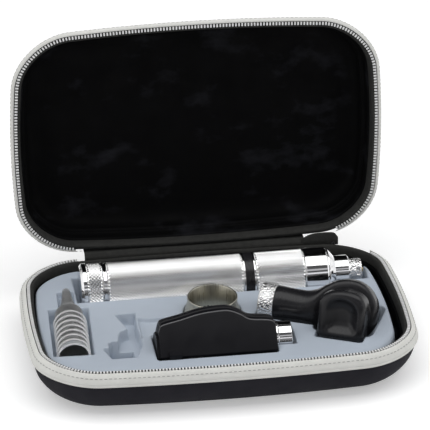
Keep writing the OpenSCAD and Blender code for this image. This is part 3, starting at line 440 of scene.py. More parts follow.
finishes = {
    "shell": shellCloth(), "lining": velour(), "binding": bindingCloth(), "tape": tapeCloth(),
    "teeth": zipTeethPlastic(), "tray": trayPlastic(), "knurl": knurledMetal(), "chrome": brightChrome(),
    "grainedChrome": grainedChrome(), "gloss": glossyBlack(), "satin": satinBlack(), "glass": lensGlass(),
    "ring": brushedRing(), "speculum": frostedPlastic(), "zipMetal": zipMetal(), "brass": brassMetal(),
    "button": greenButton(), "cell": cellWrap(), "thread": tapeThread(), "lamp": lampGlass(),
    "edge": paintedEdgeHighlight(),
}
print("finishes made")


# Case: outline of the zip line and everything that follows it

case = {
    "width": 210, "depth": 138, "corner": 30, "sideBow": 4.6, "frontBow": 4.8, "backRelief": 1.6,
    "rim": 28,              # height of the zip teeth's top over the floor
    "hingeY": 69, "hingeZ": 28.15, "openAngle": 92.7,
    "cornerSteps": 22, "longSteps": 34, "shortSteps": 18,
}


def plainOutline(width, depth, radius):
    # Rounded rectangle, anticlockwise from the right end of the back right corner
    points = []
    signs = ((1, 1), (-1, 1), (-1, -1), (1, -1))
    runs = (case["longSteps"], case["shortSteps"], case["longSteps"], case["shortSteps"])
    corners = []
    for quarter, (sx, sy) in enumerate(signs):
        angles = np.radians(90 * quarter + 90 * np.arange(case["cornerSteps"] + 1) / case["cornerSteps"])
        corners.append(np.stack([sx * (width / 2 - radius) + radius * np.cos(angles),
                                 sy * (depth / 2 - radius) + radius * np.sin(angles)], axis=1))
    for quarter, steps in enumerate(runs):
        points.append(corners[quarter])
        a, b = corners[quarter][-1], corners[(quarter + 1) % 4][0]
        points.append(a + (b - a) * (np.arange(1, steps) / steps)[:, None])
    return np.vstack(points)


def bowed(points, width, depth):
    fx, fy = points[:, 0] / (width / 2), points[:, 1] / (depth / 2)
    return np.stack([points[:, 0] - case["sideBow"] * fx * fy ** 2,
                     points[:, 1] - case["frontBow"] * fy * fx ** 2], axis=1)


def relieved(points, grow):
    # The back is pulled flat, more so where the outline is larger, to free the hinge line
    fx, fy = points[:, 0] / (case["width"] / 2), points[:, 1] / (case["depth"] / 2)
    pull = (case["backRelief"] + max(grow, 0)) * np.maximum(1 - fx ** 2, 0) * fy ** 2
    return np.stack([points[:, 0], points[:, 1] - np.where(points[:, 1] > 0, pull, 0)], axis=1)


def zipOutline(grow):
    width, depth = case["width"] + 2 * grow, case["depth"] + 2 * grow
    return relieved(bowed(plainOutline(width, depth, case["corner"] + grow), width, depth), grow)


def zipRing(grow, height):
    outline = zipOutline(grow)
    return np.column_stack([outline, np.full(len(outline), height)])


def onLid():
    # Base coordinates to lid coordinates: mirrored through the zip line, then swung open
    up = Matrix.Scale(-1, 4, (0, 0, 1))
    rise = Matrix.Translation((0, 0, 2 * case["hingeZ"] * mm))
    hinge = Matrix.Translation((0, case["hingeY"] * mm, case["hingeZ"] * mm))
    swing = Matrix.Rotation(math.radians(-case["openAngle"]), 4, "X")
    return hinge @ swing @ hinge.inverted() @ rise @ up


sides = {"base": None, "lid": onLid()}

shellProfile = {   # outer face from the flat underside to the rim, then down inside: (beyond zip line, height)
    "base": {
        "outer": [(-17, 0), (-11.2, 1), (-6.4, 3.4), (-2.2, 7.4), (1, 12.4), (2.7, 17.8), (3.0, 20.6)],
        "rim": [(2.4, 21.0), (-0.8, 26.6), (-2.6, 26.6)],
        "inner": [(-2.6, 17), (-3.6, 12.4), (-7, 7.4), (-9.4, 4.2), (-14.2, 3)],
    },
    "lid": {       # the lid's sides lean in more
        "outer": [(-17, 0), (-12.4, 0.9), (-9.8, 3.2), (-7.0, 6.6), (-4.6, 11.2), (-2.1, 16.6), (-0.4, 20.4)],
        "rim": [(-0.5, 21.0), (-0.9, 26.6), (-2.6, 26.6)],
        "inner": [(-3.0, 20.4), (-4.2, 16.6), (-6.0, 11.8), (-8.6, 7.4), (-12, 4.6), (-17, 3.2)],
    },
}


def makeShell(side):
    outer = smoothLine(shellProfile[side]["outer"], 7)
    profile = np.vstack([outer, shellProfile[side]["rim"], shellProfile[side]["inner"]])
    rings = [zipRing(grow, z) for grow, z in profile]
    addPiece(f"{side}MouldedShell", loft(rings, capStart=True, capEnd=True), side, finishes["shell"],
             (f"{side}_shell",), sides[side], sharp=50)


liningProfile = {  # lip band at the rim, step, welt, and the bowl: (beyond zip line, height)
    "lip": [(-0.9, 26.75), (-1.6, 27.3), (-2.3, 27.35), (-3.0, 26.9), (-3.5, 25.4), (-3.8, 21.8)],
    "bowl": [(-3.8, 21.8), (-4.6, 21.2), (-4.9, 20.2), (-4.8, 17.5), (-5.4, 15.2), (-6.6, 14.6), (-7.4, 13.4),
             (-7.6, 11.6), (-8.9, 8.6), (-12.0, 6.0), (-17.5, 4.5)],
}


def makeLining(side):
    lip = smoothLine(liningProfile["lip"], 4)
    bowl = smoothLine(liningProfile["bowl"], 4)
    under = [(g - 0.0, z - 0.7) for g, z in bowl[::-1]]
    lipBack = [(g + 0.55, z - 0.35) for g, z in lip[::-1]]
    rings = [zipRing(g, z) for g, z in list(lip) + lipBack]
    addPiece(f"{side}LipBinding", loft(rings, loop=True), side, finishes["binding"], (), sides[side])
    rings = [zipRing(g, z) for g, z in list(under) + list(bowl)]
    addPiece(f"{side}VelourLining", loft(rings, capStart=True, capEnd=True), side, finishes["lining"],
             (f"{side}_lining",), sides[side])


hinge = {"left": -67.5, "right": 62.5, "sliderZone": 17.5, "leaf": 8, "thickness": 0.8, "gap": 0.3}
tapeProfile = {   # a bead along the lower edge, the band, the turned edge at the teeth, and its back
    "base": {
        "face": [(3.0, 20.8), (3.75, 20.7), (4.2, 21.1), (4.2, 21.7), (3.95, 22.0), (3.98, 22.9), (3.55, 24.3),
                 (2.75, 25.8), (1.75, 27.1), (1.0, 27.7), (0.45, 27.75)],
        "back": [(0.4, 25.6), (1.6, 23.2), (2.75, 21.3)], "stitch": (2.9, 25.75),
    },
    "lid": {
        "face": [(-0.45, 20.8), (0.0, 20.75), (0.45, 21.6), (0.6, 22.5), (1.15, 23.7), (1.75, 24.9),
                 (2.15, 25.8), (2.1, 26.6), (1.6, 27.3), (1.0, 27.7), (0.45, 27.75)],
        "back": [(0.3, 25.8), (-0.1, 23.6), (-0.6, 21.4)], "stitch": (2.15, 26.2),
    },
}
teeth = {"pitch": 1.78, "long": 0.95, "wide": 1.75, "tall": 1.0}
stitches = {"pitch": 2.6, "long": 1.5, "thick": 0.32}


tapeEnds = {   # where the tape and teeth stop at the back: left end, right end
    "base": (hinge["left"], 97.0),
    "lid": (hinge["left"], hinge["right"] + hinge["sliderZone"]),
}


def openRun(outline, low, high):
    # Indices of the outline, in order, from the right end of the hinge round the front to its left end
    keep = ~((outline[:, 1] > 0) & (outline[:, 0] > low) & (outline[:, 0] < high))
    start = int(np.argmax(keep & ~np.roll(keep, 1)))
    order = np.roll(np.arange(len(outline)), -start)
    return [i for i in order if keep[i]]


def makeTape(side):
    run = openRun(zipOutline(0), *tapeEnds[side])
    line = np.vstack([smoothLine(tapeProfile[side]["face"], 3), tapeProfile[side]["back"]])
    sections = [zipRing(g, z)[run] for g, z in line]
    # a section is a closed loop across the tape; the sections follow the zip line
    rings = [np.array([s[i] for s in sections]) for i in range(len(run))]
    addPiece(f"{side}ZipTape", loft(rings, capStart=True, capEnd=True), side, finishes["tape"],
             (f"{side}_zip_tape",), sides[side], sharp=60)


def walk(outline, spacing):
    # Evenly spaced points along an open line, each with its direction
    run = lengths(outline)
    count = int(run[-1] / spacing)
    at = (np.arange(count) + 0.5) * run[-1] / count
    x, y = np.interp(at, run, outline[:, 0]), np.interp(at, run, outline[:, 1])
    ahead = np.stack([np.interp(at + 0.2, run, outline[:, 0]) - x, np.interp(at + 0.2, run, outline[:, 1]) - y],
                     axis=1)
    return np.stack([x, y], axis=1), ahead / np.linalg.norm(ahead, axis=1)[:, None]


def roundedBlock(size, bevel):
    # Small block with bevelled edges, centred at the origin
    block = bmesh.new()
    bmesh.ops.create_cube(block, size=1)
    bmesh.ops.scale(block, vec=size, verts=block.verts)
    bmesh.ops.bevel(block, geom=list(block.edges), offset=bevel, segments=2, profile=0.6, affect="EDGES")
    verts = np.array([v.co[:] for v in block.verts])
    index = {v: i for i, v in enumerate(block.verts)}
    faces = [tuple(index[v] for v in f.verts) for f in block.faces]
    block.free()
    return verts, faces, [tuple((0, 0) for _ in f) for f in faces]


def rowOf(block, outline, run, spacing, height, shift=0.0):
    # Copies of a small block along part of an outline, each turned to follow it
    spots, ahead = walk(outline[run], spacing)
    parts = []
    for (x, y), (dx, dy) in zip(spots, ahead):
        turn = np.array([[dx, -dy, 0], [dy, dx, 0], [0, 0, 1]])
        parts.append((block[0] @ turn.T + np.array([x + dx * shift, y + dy * shift, height]), block[1], block[2]))
    return joined(parts)


def makeTeeth(side):
    outline = zipOutline(-teeth["wide"] / 2)
    block = roundedBlock((teeth["long"], teeth["wide"], teeth["tall"]), 0.22)
    shift = 0.5 * teeth["pitch"] if side == "lid" else 0.0
    row = rowOf(block, outline, openRun(outline, *tapeEnds[side]), teeth["pitch"],
                case["rim"] - teeth["tall"] / 2, shift)
    addPiece(f"{side}ZipTeeth", row, side, finishes["teeth"], (f"{side}_zip_teeth",), sides[side],
             sharp=40)


def makeStitches(side):
    grow, height = tapeProfile[side]["stitch"]
    outline = zipOutline(grow)
    block = roundedBlock((stitches["long"], stitches["thick"], stitches["thick"]), 0.12)
    row = rowOf(block, outline, openRun(outline, *tapeEnds[side]), stitches["pitch"], height)
    addPiece(f"{side}TapeStitches", row, side, finishes["thread"], (), sides[side], sharp=60)


def backLine(x, grow):
    outline = zipOutline(grow)
    back = outline[outline[:, 1] > 0]
    order = np.argsort(back[:, 0])
    return np.interp(x, back[order, 0], back[order, 1])


def makeHingeCloth():
    # One strip of cloth from the base's back face over the fold to the lid's back face
    xs = np.linspace(hinge["left"] + 0.5, hinge["right"] - 0.5, 60)
    behind = np.maximum(backLine(xs, 0), backLine(xs, 3)) + hinge["gap"]
    lid = sides["lid"]
    low = case["rim"] - hinge["leaf"]
    rows = []
    for thick in (0.0, hinge["thickness"]):
        leaf = []
        for z in np.linspace(low, case["rim"] - 0.5, 7):
            leaf.append(np.column_stack([xs, behind + thick, np.full(len(xs), z)]))
        mirrored = [np.array([(lid @ Vector(p * mm))[:] for p in row]) / mm for row in leaf[::-1]]
        a, b = leaf[-1], mirrored[0]
        fold = []
        for t in (0.25, 0.5, 0.75):
            out = math.sin(t * math.pi) * (0.35 if thick else 0.15)
            fold.append(a + (b - a) * t + np.array([0, -out * 0.6, out * 0.8]) * (1 if thick else -1) * -1)
        rows.append(leaf + fold + mirrored)
    strip = rows[0] + rows[1][::-1]
    rings = [np.array([row[i] for row in strip]) for i in range(len(xs))]
    cloth = addPiece("hingeCloth", loft(rings, capStart=True, capEnd=True), None, finishes["binding"],
                     ("base_hinge_strip", "lid_hinge_strip"), sharp=70)
    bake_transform(cloth)


sliderCover = {   # cloth flap that stands over the zip slider: half thickness, height along its length
    "y": 68.2, "thick": 0.85, "low": 24.8,
    "tops": [(60.2, 28.6), (62.4, 30.8), (66, 32.3), (70, 32.8), (77, 32.8), (80, 32.0), (82, 29.4)],
}


def makeSliderCover():
    c = sliderCover
    rings = []
    for x, top in smoothLine(c["tops"], 5):
        t, low = c["thick"], c["low"]
        section = filleted([(0, low), (-t, low), (-t * 1.15, (low + top) / 2), (-t * 0.7, top), (t * 0.7, top),
                            (t, (low + top) / 2), (t, low), (0, low)], [0, 0.1, 1.0, 0.5, 0.5, 1.0, 0.1, 0])[:-1]
        rings.append(np.column_stack([np.full(len(section), x), c["y"] + section[:, 0], section[:, 1]]))
    cover = addPiece("sliderCover", loft(rings, capStart=True, capEnd=True), None, finishes["binding"],
                     (), sharp=60)
    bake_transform(cover)


for side in sides:
    makeShell(side)
    makeLining(side)
    makeTape(side)
    makeTeeth(side)
    makeStitches(side)
makeHingeCloth()
makeSliderCover()
print("case made")


# Fitted tray: a height field whose vertices are drawn onto the pockets' edges

tray = {
    "top": 24.4, "left": -100.9, "right": 96.6, "back": 61.2, "front": -69, "corner": 25,
    "low": 6, "step": 0.45, "lip": 0.55, "wall": 0.45, "fillet": 0.8, "roll": 8,
}
handle = {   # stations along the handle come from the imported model
    "y": 34.7, "z": 25.0, "tube": 14.75, "core": 11, "endRoom": 2.8,
    "end": cadBounds("end_cap_rim")[0][0], "cap": cadBounds("end_cap_rim")[1][0],
    "groove": cadBounds("groove_ring")[0][0], "barrel": cadBounds("groove_ring")[1][0],
    "insulator": cadBounds("insulator_ring")[0][0], "sleeve": cadBounds("insulator_ring")[1][0],
    "collar": cadBounds("top_collar")[0][0], "bevel": cadBounds("top_collar")[1][0],
    "neck": cadBounds("top_collar")[1][0] + 4.4, "tip": cadBounds("bayonet_neck")[1][0] - 7.4,
    "tipEnd": cadBounds("bayonet_neck")[1][0], "neckRadius": 9.1, "tipRadius": 6.6,
    "trackWide": 2, "trackLong": 3.2, "trackTurn": 20, "trackDeep": 0.9,
}
otoscope = {
    "x": 25.8, "y": 0, "z": 28.5, "yaw": -25, "socket": 11, "socketBore": 7, "socketLength": 8.8,
    "barrelX": 50.4, "barrelRise": 2.5, "barrel": 16.5, "tilt": 15,
    "focusFrom": 4.2, "focusThick": 3.8, "eyeFrom": 8.2, "eyeWidth": 26.6, "eyeHeight": 28, "eyeThick": 11,
}
scope = {   # the ophthalmoscope head
    "x": -38, "y": -50, "z": 24.4, "lean": 50, "length": 65, "panel": 24.4, "cover": 3, "sink": 16, "depth": 31,
    "postY": 16.8, "postZ": -1.8, "post": 10, "postBore": 7, "postLength": 9.6,
}
ring = {"x": -2.4, "y": -0.5, "z": 18, "mouth": 14.2, "foot": 16, "bore": 13, "height": 16}
nest = {"x": -81.7, "y": 32, "z": 25.8, "yaw": -2.2, "pitch": 3, "count": 8, "step": 4.9, "length": 36,
        "radius": 9, "lip": 0.5, "wall": 0.42}


def boxDistance(x, y, cx, cy, hx, hy, radius=0.6, turn=0.0):
    # Signed distance to a rounded rectangle, negative inside
    c, s = math.cos(math.radians(turn)), math.sin(math.radians(turn))
    u, v = (x - cx) * c + (y - cy) * s, -(x - cx) * s + (y - cy) * c
    qx, qy = np.abs(u) - hx + radius, np.abs(v) - hy + radius
    return np.hypot(np.maximum(qx, 0), np.maximum(qy, 0)) + np.minimum(np.maximum(qx, qy), 0) - radius


def polygonDistance(x, y, corners):
    p = np.stack([x, y], axis=-1)
    best = np.full(x.shape, 1e9)
    inside = np.zeros(x.shape, bool)
    c = np.array(corners, float)
    for a, b in zip(c, np.roll(c, -1, axis=0)):
        edge = b - a
        t = np.clip(((p - a) @ edge) / (edge @ edge), 0, 1)
        best = np.minimum(best, np.linalg.norm(p - a - t[..., None] * edge, axis=-1))
        crosses = (a[1] > p[..., 1]) != (b[1] > p[..., 1])
        with np.errstate(divide="ignore", invalid="ignore"):
            at = (b[0] - a[0]) * (p[..., 1] - a[1]) / (b[1] - a[1]) + a[0]
        inside ^= crosses & (p[..., 0] < at)
    return np.where(inside, -best, best)


def otoPoint(u, v):
    # A point of the otoscope's own frame, seen from above
    a = math.radians(otoscope["yaw"])
    return otoscope["x"] + u * math.cos(a) - v * math.sin(a), otoscope["y"] + u * math.sin(a) + v * math.cos(a)


def otoBox(x, y, u0, u1, v0, v1, radius=1.2):
    cx, cy = otoPoint((u0 + u1) / 2, (v0 + v1) / 2)
    return boxDistance(x, y, cx, cy, (u1 - u0) / 2, (v1 - v0) / 2, radius, otoscope["yaw"])


def nestBox(x, y, u, half, start, end, radius=0.5):
    a = math.radians(nest["yaw"])
    middle = (start + end) / 2
    cx = nest["x"] + u * math.cos(a) + middle * math.sin(a)
    cy = nest["y"] + u * math.sin(a) - middle * math.cos(a)
    return boxDistance(x, y, cx, cy, half, (end - start) / 2, radius, nest["yaw"])


def nestFloor(x, y, down):
    # The floor follows the specula, which dip a little towards the front
    a = math.radians(nest["yaw"])
    along = (x - nest["x"]) * math.sin(a) - (y - nest["y"]) * math.cos(a)
    return nest["z"] - down - along * math.sin(math.radians(nest["pitch"]))


sparePocket = {
    "outline": [(-56.92, 2.85), (-45.65, 3.6), (-46.46, -10.9), (-45.42, -25.4), (-46.11, -32.9), (-50.37, -45.9),
                (-64.4, -44.9), (-67.5, -35.9), (-67.27, -33.4), (-63.36, -32.9), (-62.67, -26.9),
                (-58.76, -26.65), (-57.84, -20.4), (-56.23, -16.4), (-52.09, -13.9)],
    "floor": 17.4,
    "well": (-57.5, -36.9, 7, 9), "wellFloor": 10.4,
    "shelf": [(-45.4, -24.6), (-45.08, -2.26), (-38.2, -4.08), (-29.4, -3.4), (-29.4, -20.04), (-32.6, -24.6)],
    "shelfFloor": 21.9,
}


def pockets(x, y):
    # Each pocket as (signed distance, floor height or field of heights, lip scale)
    h, o, s = handle, otoscope, scope
    z = o["z"]
    across = y - h["y"]
    trough = h["z"] - np.sqrt(np.maximum((h["tube"] + 0.45) ** 2 - across ** 2, 0))
    neckTrough = h["z"] - np.sqrt(np.maximum((h["neckRadius"] + 1) ** 2 - across ** 2, 0))
    end, tip = h["end"] - h["endRoom"], h["tipEnd"] + 2
    found = [
        (boxDistance(x, y, (end + h["neck"]) / 2, h["y"], (h["neck"] - end) / 2, h["tube"] + 0.45, 0.4), trough),
        (boxDistance(x, y, (h["neck"] + tip) / 2, h["y"], (tip - h["neck"]) / 2 + 1, h["neckRadius"] + 1, 0.4),
         neckTrough),
        (nestBox(x, y, 0, 11.3, 18, 71.2), nestFloor(x, y, 9.8)),
        (nestBox(x, y, -0.6, 4.6, -1.8, 19.8), nestFloor(x, y, 5.2)),
        (np.hypot(x - ring["x"], y - ring["y"]) - ring["foot"] - 0.5, ring["z"] - 0.3),
        (otoBox(x, y, -1.5, o["barrelX"] - o["barrel"] + 5, -11.5, 11.5), z - 11.3),
        (otoBox(x, y, o["barrelX"] - 17.1, o["barrelX"] + 17.1, -17, 20.6, 5), z - 16.1),
        (otoBox(x, y, o["barrelX"] - 13.8, o["barrelX"] + 13.8, -24, 0, 2), z - 7.8),
        (otoBox(x, y, o["barrelX"] - 9, o["barrelX"] + 9, 0, 29.5, 2), z - 14),
        (boxDistance(x, y, s["x"] - 2 + (s["length"] + 2.5) / 2, s["y"] - 1.6 + (s["depth"] + 2.1) / 2,
                     (s["length"] + 2.5) / 2, (s["depth"] + 2.1) / 2, 2.0), s["z"] - s["sink"] - 0.3),
        (boxDistance(x, y, s["x"] + s["length"] + (s["postLength"] + 2) / 2, s["y"] + s["postY"],
                     (s["postLength"] + 2) / 2, s["post"] + 0.5, 0.8), s["z"] + s["postZ"] - s["post"] - 0.3),
        (polygonDistance(x, y, sparePocket["shelf"]), sparePocket["shelfFloor"]),
        (polygonDistance(x, y, sparePocket["outline"]), sparePocket["floor"]),
        (boxDistance(x, y, *sparePocket["well"], 0.6), sparePocket["wellFloor"]),
    ]
    return found


def carve(z, distance, floor):
    # Lowers the surface inside a pocket, with a rounded lip, a drawn wall and a fillet at the floor
    depth = np.maximum(z - floor, 0)
    inside = -distance
    lip = np.minimum(tray["lip"], depth * 0.5)
    fillet = np.minimum(tray["fillet"], depth * 0.5)
    wall = tray["wall"]
    drop = np.where(inside > -lip, lip - np.sqrt(np.maximum(lip ** 2 - (inside + lip) ** 2, 0)), 0)
    down = lip + (depth - lip - fillet) * np.clip(inside / wall, 0, 1)
    drop = np.where(inside > 0, down, drop)
    t = np.clip(wall + fillet - inside, 0, fillet)
    foot = depth - fillet + np.sqrt(np.maximum(fillet ** 2 - t ** 2, 0))
    drop = np.where(inside > wall, foot, drop)
    return z - np.minimum(drop, depth)


def trayEdge(x, y, inset, front):
    # Signed distance to the tray's outline, drawn in by inset and, at the front, by front
    left, right = tray["left"] + inset, tray["right"] - inset
    low, high = tray["front"] + front, tray["back"] - inset
    w, d = right - left, high - low
    u, v = x - (left + right) / 2, y - (low + high) / 2
    for _ in range(3):   # undo the bow of the outline
        fx, fy = u / (w / 2), v / (d / 2)
        u = x - (left + right) / 2 + case["sideBow"] * fx * fy ** 2
        v = y - (low + high) / 2 + case["frontBow"] * fy * fx ** 2
    return boxDistance(u, v, 0, 0, w / 2, d / 2, tray["corner"] - inset)


def trayHeights(x, y):
    levels = [(0.0, 4.2, 17.5), (0.02, 4.5, 20.0), (0.1, 5.2, 21.6), (0.25, 6.2, 22.7), (0.45, 7.6, 23.5),
              (0.75, 9.4, 24.05), (1.3, 12.0, tray["top"])]
    fields = [trayEdge(x, y, inset, front) for inset, front, _ in levels]
    z = np.where(fields[-1] < 0, tray["top"], levels[0][2])
    for (a, b, lower, upper) in zip(fields[:-1], fields[1:], levels[:-1], levels[1:]):
        between = (a < 0) & (b >= 0)
        t = np.where(between, -a / np.maximum(b - a, 1e-6), 0)
        z = np.where(between, lower[2] + (upper[2] - lower[2]) * t, z)
    return z, fields[0]


def makeTray():
    step = tray["step"]
    xs = np.arange(tray["left"] - step, tray["right"] + 2 * step, step)
    ys = np.arange(tray["front"] + 3, tray["back"] + 2 * step, step)
    x, y = np.meshgrid(xs, ys, indexing="ij")

    def snap(x, y, distance, level):
        # Draws the vertices beside a contour of the distance field onto it
        d = distance(x, y)
        e = 0.02
        gx = (distance(x + e, y) - distance(x - e, y)) / (2 * e)
        gy = (distance(x, y + e) - distance(x, y - e)) / (2 * e)
        size = np.maximum(np.hypot(gx, gy), 0.3)
        near = np.abs(d - level) < step * 0.5
        return np.where(near, x - gx / size * (d - level), x), np.where(near, y - gy / size * (d - level), y)

    count = len(pockets(x[:1, :1], y[:1, :1]))
    for k in range(count):
        def distance(a, b, k=k):
            return pockets(a, b)[k][0]
        moved = snap(x, y, distance, 0.0)
        x, y = moved
    x, y = snap(x, y, lambda a, b: trayEdge(a, b, 0.0, 4.2), 0.0)
    z, edge = trayHeights(x, y)
    for d, floor in pockets(x, y):
        z = carve(z, d, floor)
    inside = edge < 1e-3
    nx, ny = x.shape
    index = -np.ones(x.shape, int)
    keep = inside[:-1, :-1] & inside[1:, :-1] & inside[1:, 1:] & inside[:-1, 1:]
    used = np.zeros(x.shape, bool)
    for di, dj in ((0, 0), (1, 0), (1, 1), (0, 1)):
        used[di:nx - 1 + di, dj:ny - 1 + dj] |= keep
    index[used] = np.arange(used.sum())
    verts = np.column_stack([x[used], y[used], z[used]])
    i, j = np.nonzero(keep)
    faces = np.stack([index[i, j], index[i + 1, j], index[i + 1, j + 1], index[i, j + 1]], axis=1).tolist()
    mesh = bmesh.new()
    top = [mesh.verts.new(v) for v in verts.tolist()]
    for f in faces:
        mesh.faces.new([top[k] for k in f])
    rim = [e for e in mesh.edges if e.is_boundary]
    wall = bmesh.ops.extrude_edge_only(mesh, edges=rim)["geom"]
    low = [v for v in wall if isinstance(v, bmesh.types.BMVert)]
    for v in low:
        v.co.z = tray["low"]
        v.co.x *= 0.95
        v.co.y *= 0.95
    bottom = [e for e in wall if isinstance(e, bmesh.types.BMEdge) and e.is_boundary]
    bmesh.ops.contextual_create(mesh, geom=bottom)
    mesh.verts.index_update()
    verts = np.array([v.co[:] for v in mesh.verts])
    faces = [tuple(v.index for v in f.verts) for f in mesh.faces]
    mesh.free()
    addPiece("mouldedTray", (verts, faces, None), "base", finishes["tray"], ("instrument_tray",),
             sharp=None)
    print("tray", len(verts))


makeTray()


# Handle: everything is turned about one axis along the case

def alongX(x):
    # Local Z becomes +X, from x on the handle's axis
    return placed((x, handle["y"], handle["z"]), ("Y", 90))


knurl = {"pitch": 1.85, "depth": 0.62, "edge": 0.5}


def knurled(radius, start, end, pitch=None):
    # Diamond knurl: rows of little pyramids between two families of slanting grooves, with plain edges
    pitch = pitch or knurl["pitch"]
    columns = 2 * round(2 * math.pi * radius / pitch)
    edge = knurl["edge"]
    rows = 2 * max(2, round((end - start - 2 * edge) / pitch))
    angles = np.arange(columns) * 2 * math.pi / columns
    high, low = radius + 0.12, radius + 0.12 - knurl["depth"]
    rings = []
    for j in range(rows + 1):
        peak = (np.arange(columns) + j) % 2 == 1
        r = np.where(peak, high, low)
        if j in (0, rows):
            r = np.full(columns, low)
        z = start + edge + (end - start - 2 * edge) * j / rows
        rings.append(np.stack([r * np.cos(angles), r * np.sin(angles), np.full(columns, z)], axis=1))
    verts = np.vstack(rings)
    faces = []
    for j in range(rows):
        for i in range(columns):
            k = (i + 1) % columns
            a, b, c, d = j * columns + i, j * columns + k, (j + 1) * columns + k, (j + 1) * columns + i
            if (i + j) % 2 == 0:
                faces += [(a, b, c), (a, c, d)]
            else:
                faces += [(a, b, d), (b, c, d)]
    first = (verts[:columns], verts[-columns:])
    lowRing, highRing = first
    shoulder = radius - 0.35
    def plainRing(r, z):
        return np.stack([r * np.cos(angles), r * np.sin(angles), np.full(columns, z)], axis=1)
    ends = []
    for ringVerts, z0, z1 in ((lowRing, start + 0.12, start), (highRing, end - 0.12, end)):
        ends.append(loft([ringVerts, plainRing(radius - 0.1, z0), plainRing(shoulder, z1)], capEnd=True))
    body = (verts, faces, [tuple((0, 0) for _ in f) for f in faces])
    return joined([body] + ends)


def makeHandle():
    h = handle
    place = alongX(0)
    metal, knurledSkin = finishes["chrome"], finishes["knurl"]
    addPiece("knurledTube", knurled(h["tube"], h["barrel"], h["insulator"]), "handle", knurledSkin,
             ("battery_tube",), place, sharp=4)
    addPiece("knurledCap", knurled(h["tube"] + 0.05, h["cap"], h["groove"] - 0.2), "end_cap", knurledSkin,
             ("end_cap",), place, sharp=4)
    addPiece("knurledSleeve", knurled(h["tube"] + 0.1, h["sleeve"] + 0.2, h["collar"] - 0.2),
             "brightness_sleeve", knurledSkin, ("brightness_sleeve",), place, sharp=4)
    r = h["tube"] - 0.2
    x, end = h["end"], h["cap"]
    rim = filleted([(0, x + 0.8), (r * 0.62, x + 0.8), (r * 0.68, x + 0.05), (r - 1.6, x + 0.05), (r, x + 1.4),
                    (r, end - 0.05), (0, end - 0.05)], [0, 0.5, 0.3, 0.6, 0.5, 0.15, 0])
    addPiece("polishedEndRim", turned(rim, 128), "end_cap", metal, ("end_cap_rim",), place)
    x = h["groove"]
    groove = filleted([(13.3, x), (r, x), (r, x + 0.45), (r - 0.7, x + 0.75), (r - 0.7, x + 1.25), (r, x + 1.55),
                       (r, x + 2), (13.3, x + 2)], 0.12)
    addPiece("grooveRing", turned(groove, 128, loop=True), "handle", metal, ("groove_ring",),
             place)
    x, end = h["insulator"], h["sleeve"]
    edge = filleted([(11.2, x), (r + 0.1, x), (r + 0.1, x + 0.75), (r - 0.3, x + 0.95), (11.2, x + 0.95)], 0.12)
    edge2 = [(rr, end - (xx - x)) for rr, xx in edge]
    addPiece("insulatorEdges", joined([turned(edge, 128, loop=True), turned(edge2, 128, loop=True)]), "handle",
             metal, (), place)
    band = filleted([(11.1, x + 0.9), (r - 0.35, x + 0.9), (r - 0.35, end - 0.9), (11.1, end - 0.9)], 0.1)
    addPiece("insulatorBand", turned(band, 128, loop=True), "handle", finishes["gloss"],
             ("insulator_ring",), place)
    x, end = h["collar"], h["bevel"]
    collar = filleted([(11.1, x), (r - 0.25, x), (r, x + 0.3), (r, end - 0.9), (r - 0.45, end - 0.1),
                       (11.1, end - 0.1)], [0, 0.15, 0.3, 0.7, 0.3, 0])
    addPiece("smoothCollar", turned(collar, 160, loop=True), "handle", metal, ("top_collar",),
             place)


def makeNeck():
    h = handle
    place = alongX(0)
    x, n, t = h["bevel"], h["neck"], h["tip"]
    core = filleted([(0, 24), (h["core"], 24), (h["core"], x), (14.0, x), (13.75, x + 0.9), (9.9, n - 0.1),
                     (9.3, n), (h["neckRadius"], n + 0.2), (h["neckRadius"], t - 0.8), (h["neckRadius"] - 0.7, t),
                     (5, t), (5, t - 0.4), (0, t - 0.4)],
                    [0, 0, 0, 0.2, 0.4, 0.3, 0.1, 0.1, 0.3, 0.2, 0.1, 0.1, 0])
    addPiece("bayonetNeck", turned(core, 144), "handle", finishes["chrome"],
             ("bayonet_neck",), place, sharp=40)


def makeTip():
    # Three tracks run in from the end and turn aside, for the lugs in a head's socket
    h = handle
    t, e, r = h["tip"], h["tipEnd"], h["tipRadius"]
    angles = np.arange(240) * 2 * math.pi / 240
    half = math.degrees(h["trackWide"] / 2 / r)
    levels = [(r, z) for z in np.arange(t - 0.3, e - 0.4, 0.2)] + [(r, e - 0.35), (r - 0.1, e - 0.12), (r - 0.4, e)]
    rings = []
    for radius, z in levels + [(2.4, e), (2.4, e - 1.5)]:
        radii = np.full(len(angles), radius)
        for k in range(3):
            turn = (np.degrees(angles) - 120 * k + 180) % 360 - 180
            entry = (np.abs(turn) < half) & (z > e - h["trackLong"])
            lock = (turn > -half) & (turn < h["trackTurn"] + half) & (abs(z - e + h["trackLong"] - 1) < 1)
            radii = np.where((entry | lock) & (radius > r - 1), radius - h["trackDeep"], radii)
        rings.append(np.stack([radii * np.cos(angles), radii * np.sin(angles), np.full(len(angles), z)], axis=1))
    addPiece("bayonetTip", loft(rings, capStart=True, capEnd=True), "handle", finishes["grainedChrome"],
             (), alongX(0), sharp=35)


makeHandle()
makeNeck()
makeTip()
print("handle made")


# Otoscope head: its own frame lies along the neck, turned in the tray

otoFrame = placed((otoscope["x"], otoscope["y"], otoscope["z"]), ("Z", otoscope["yaw"]))


def barrelFrame(rise=0.0):
    # Local Z is the viewing axis, towards the eye; local Y is up
    o = otoscope
    return otoFrame @ placed((o["barrelX"], 0, o["barrelRise"])) @ Matrix.Rotation(
        math.radians(90 - o["tilt"]), 4, "X") @ Matrix.Translation((0, 0, rise * mm))


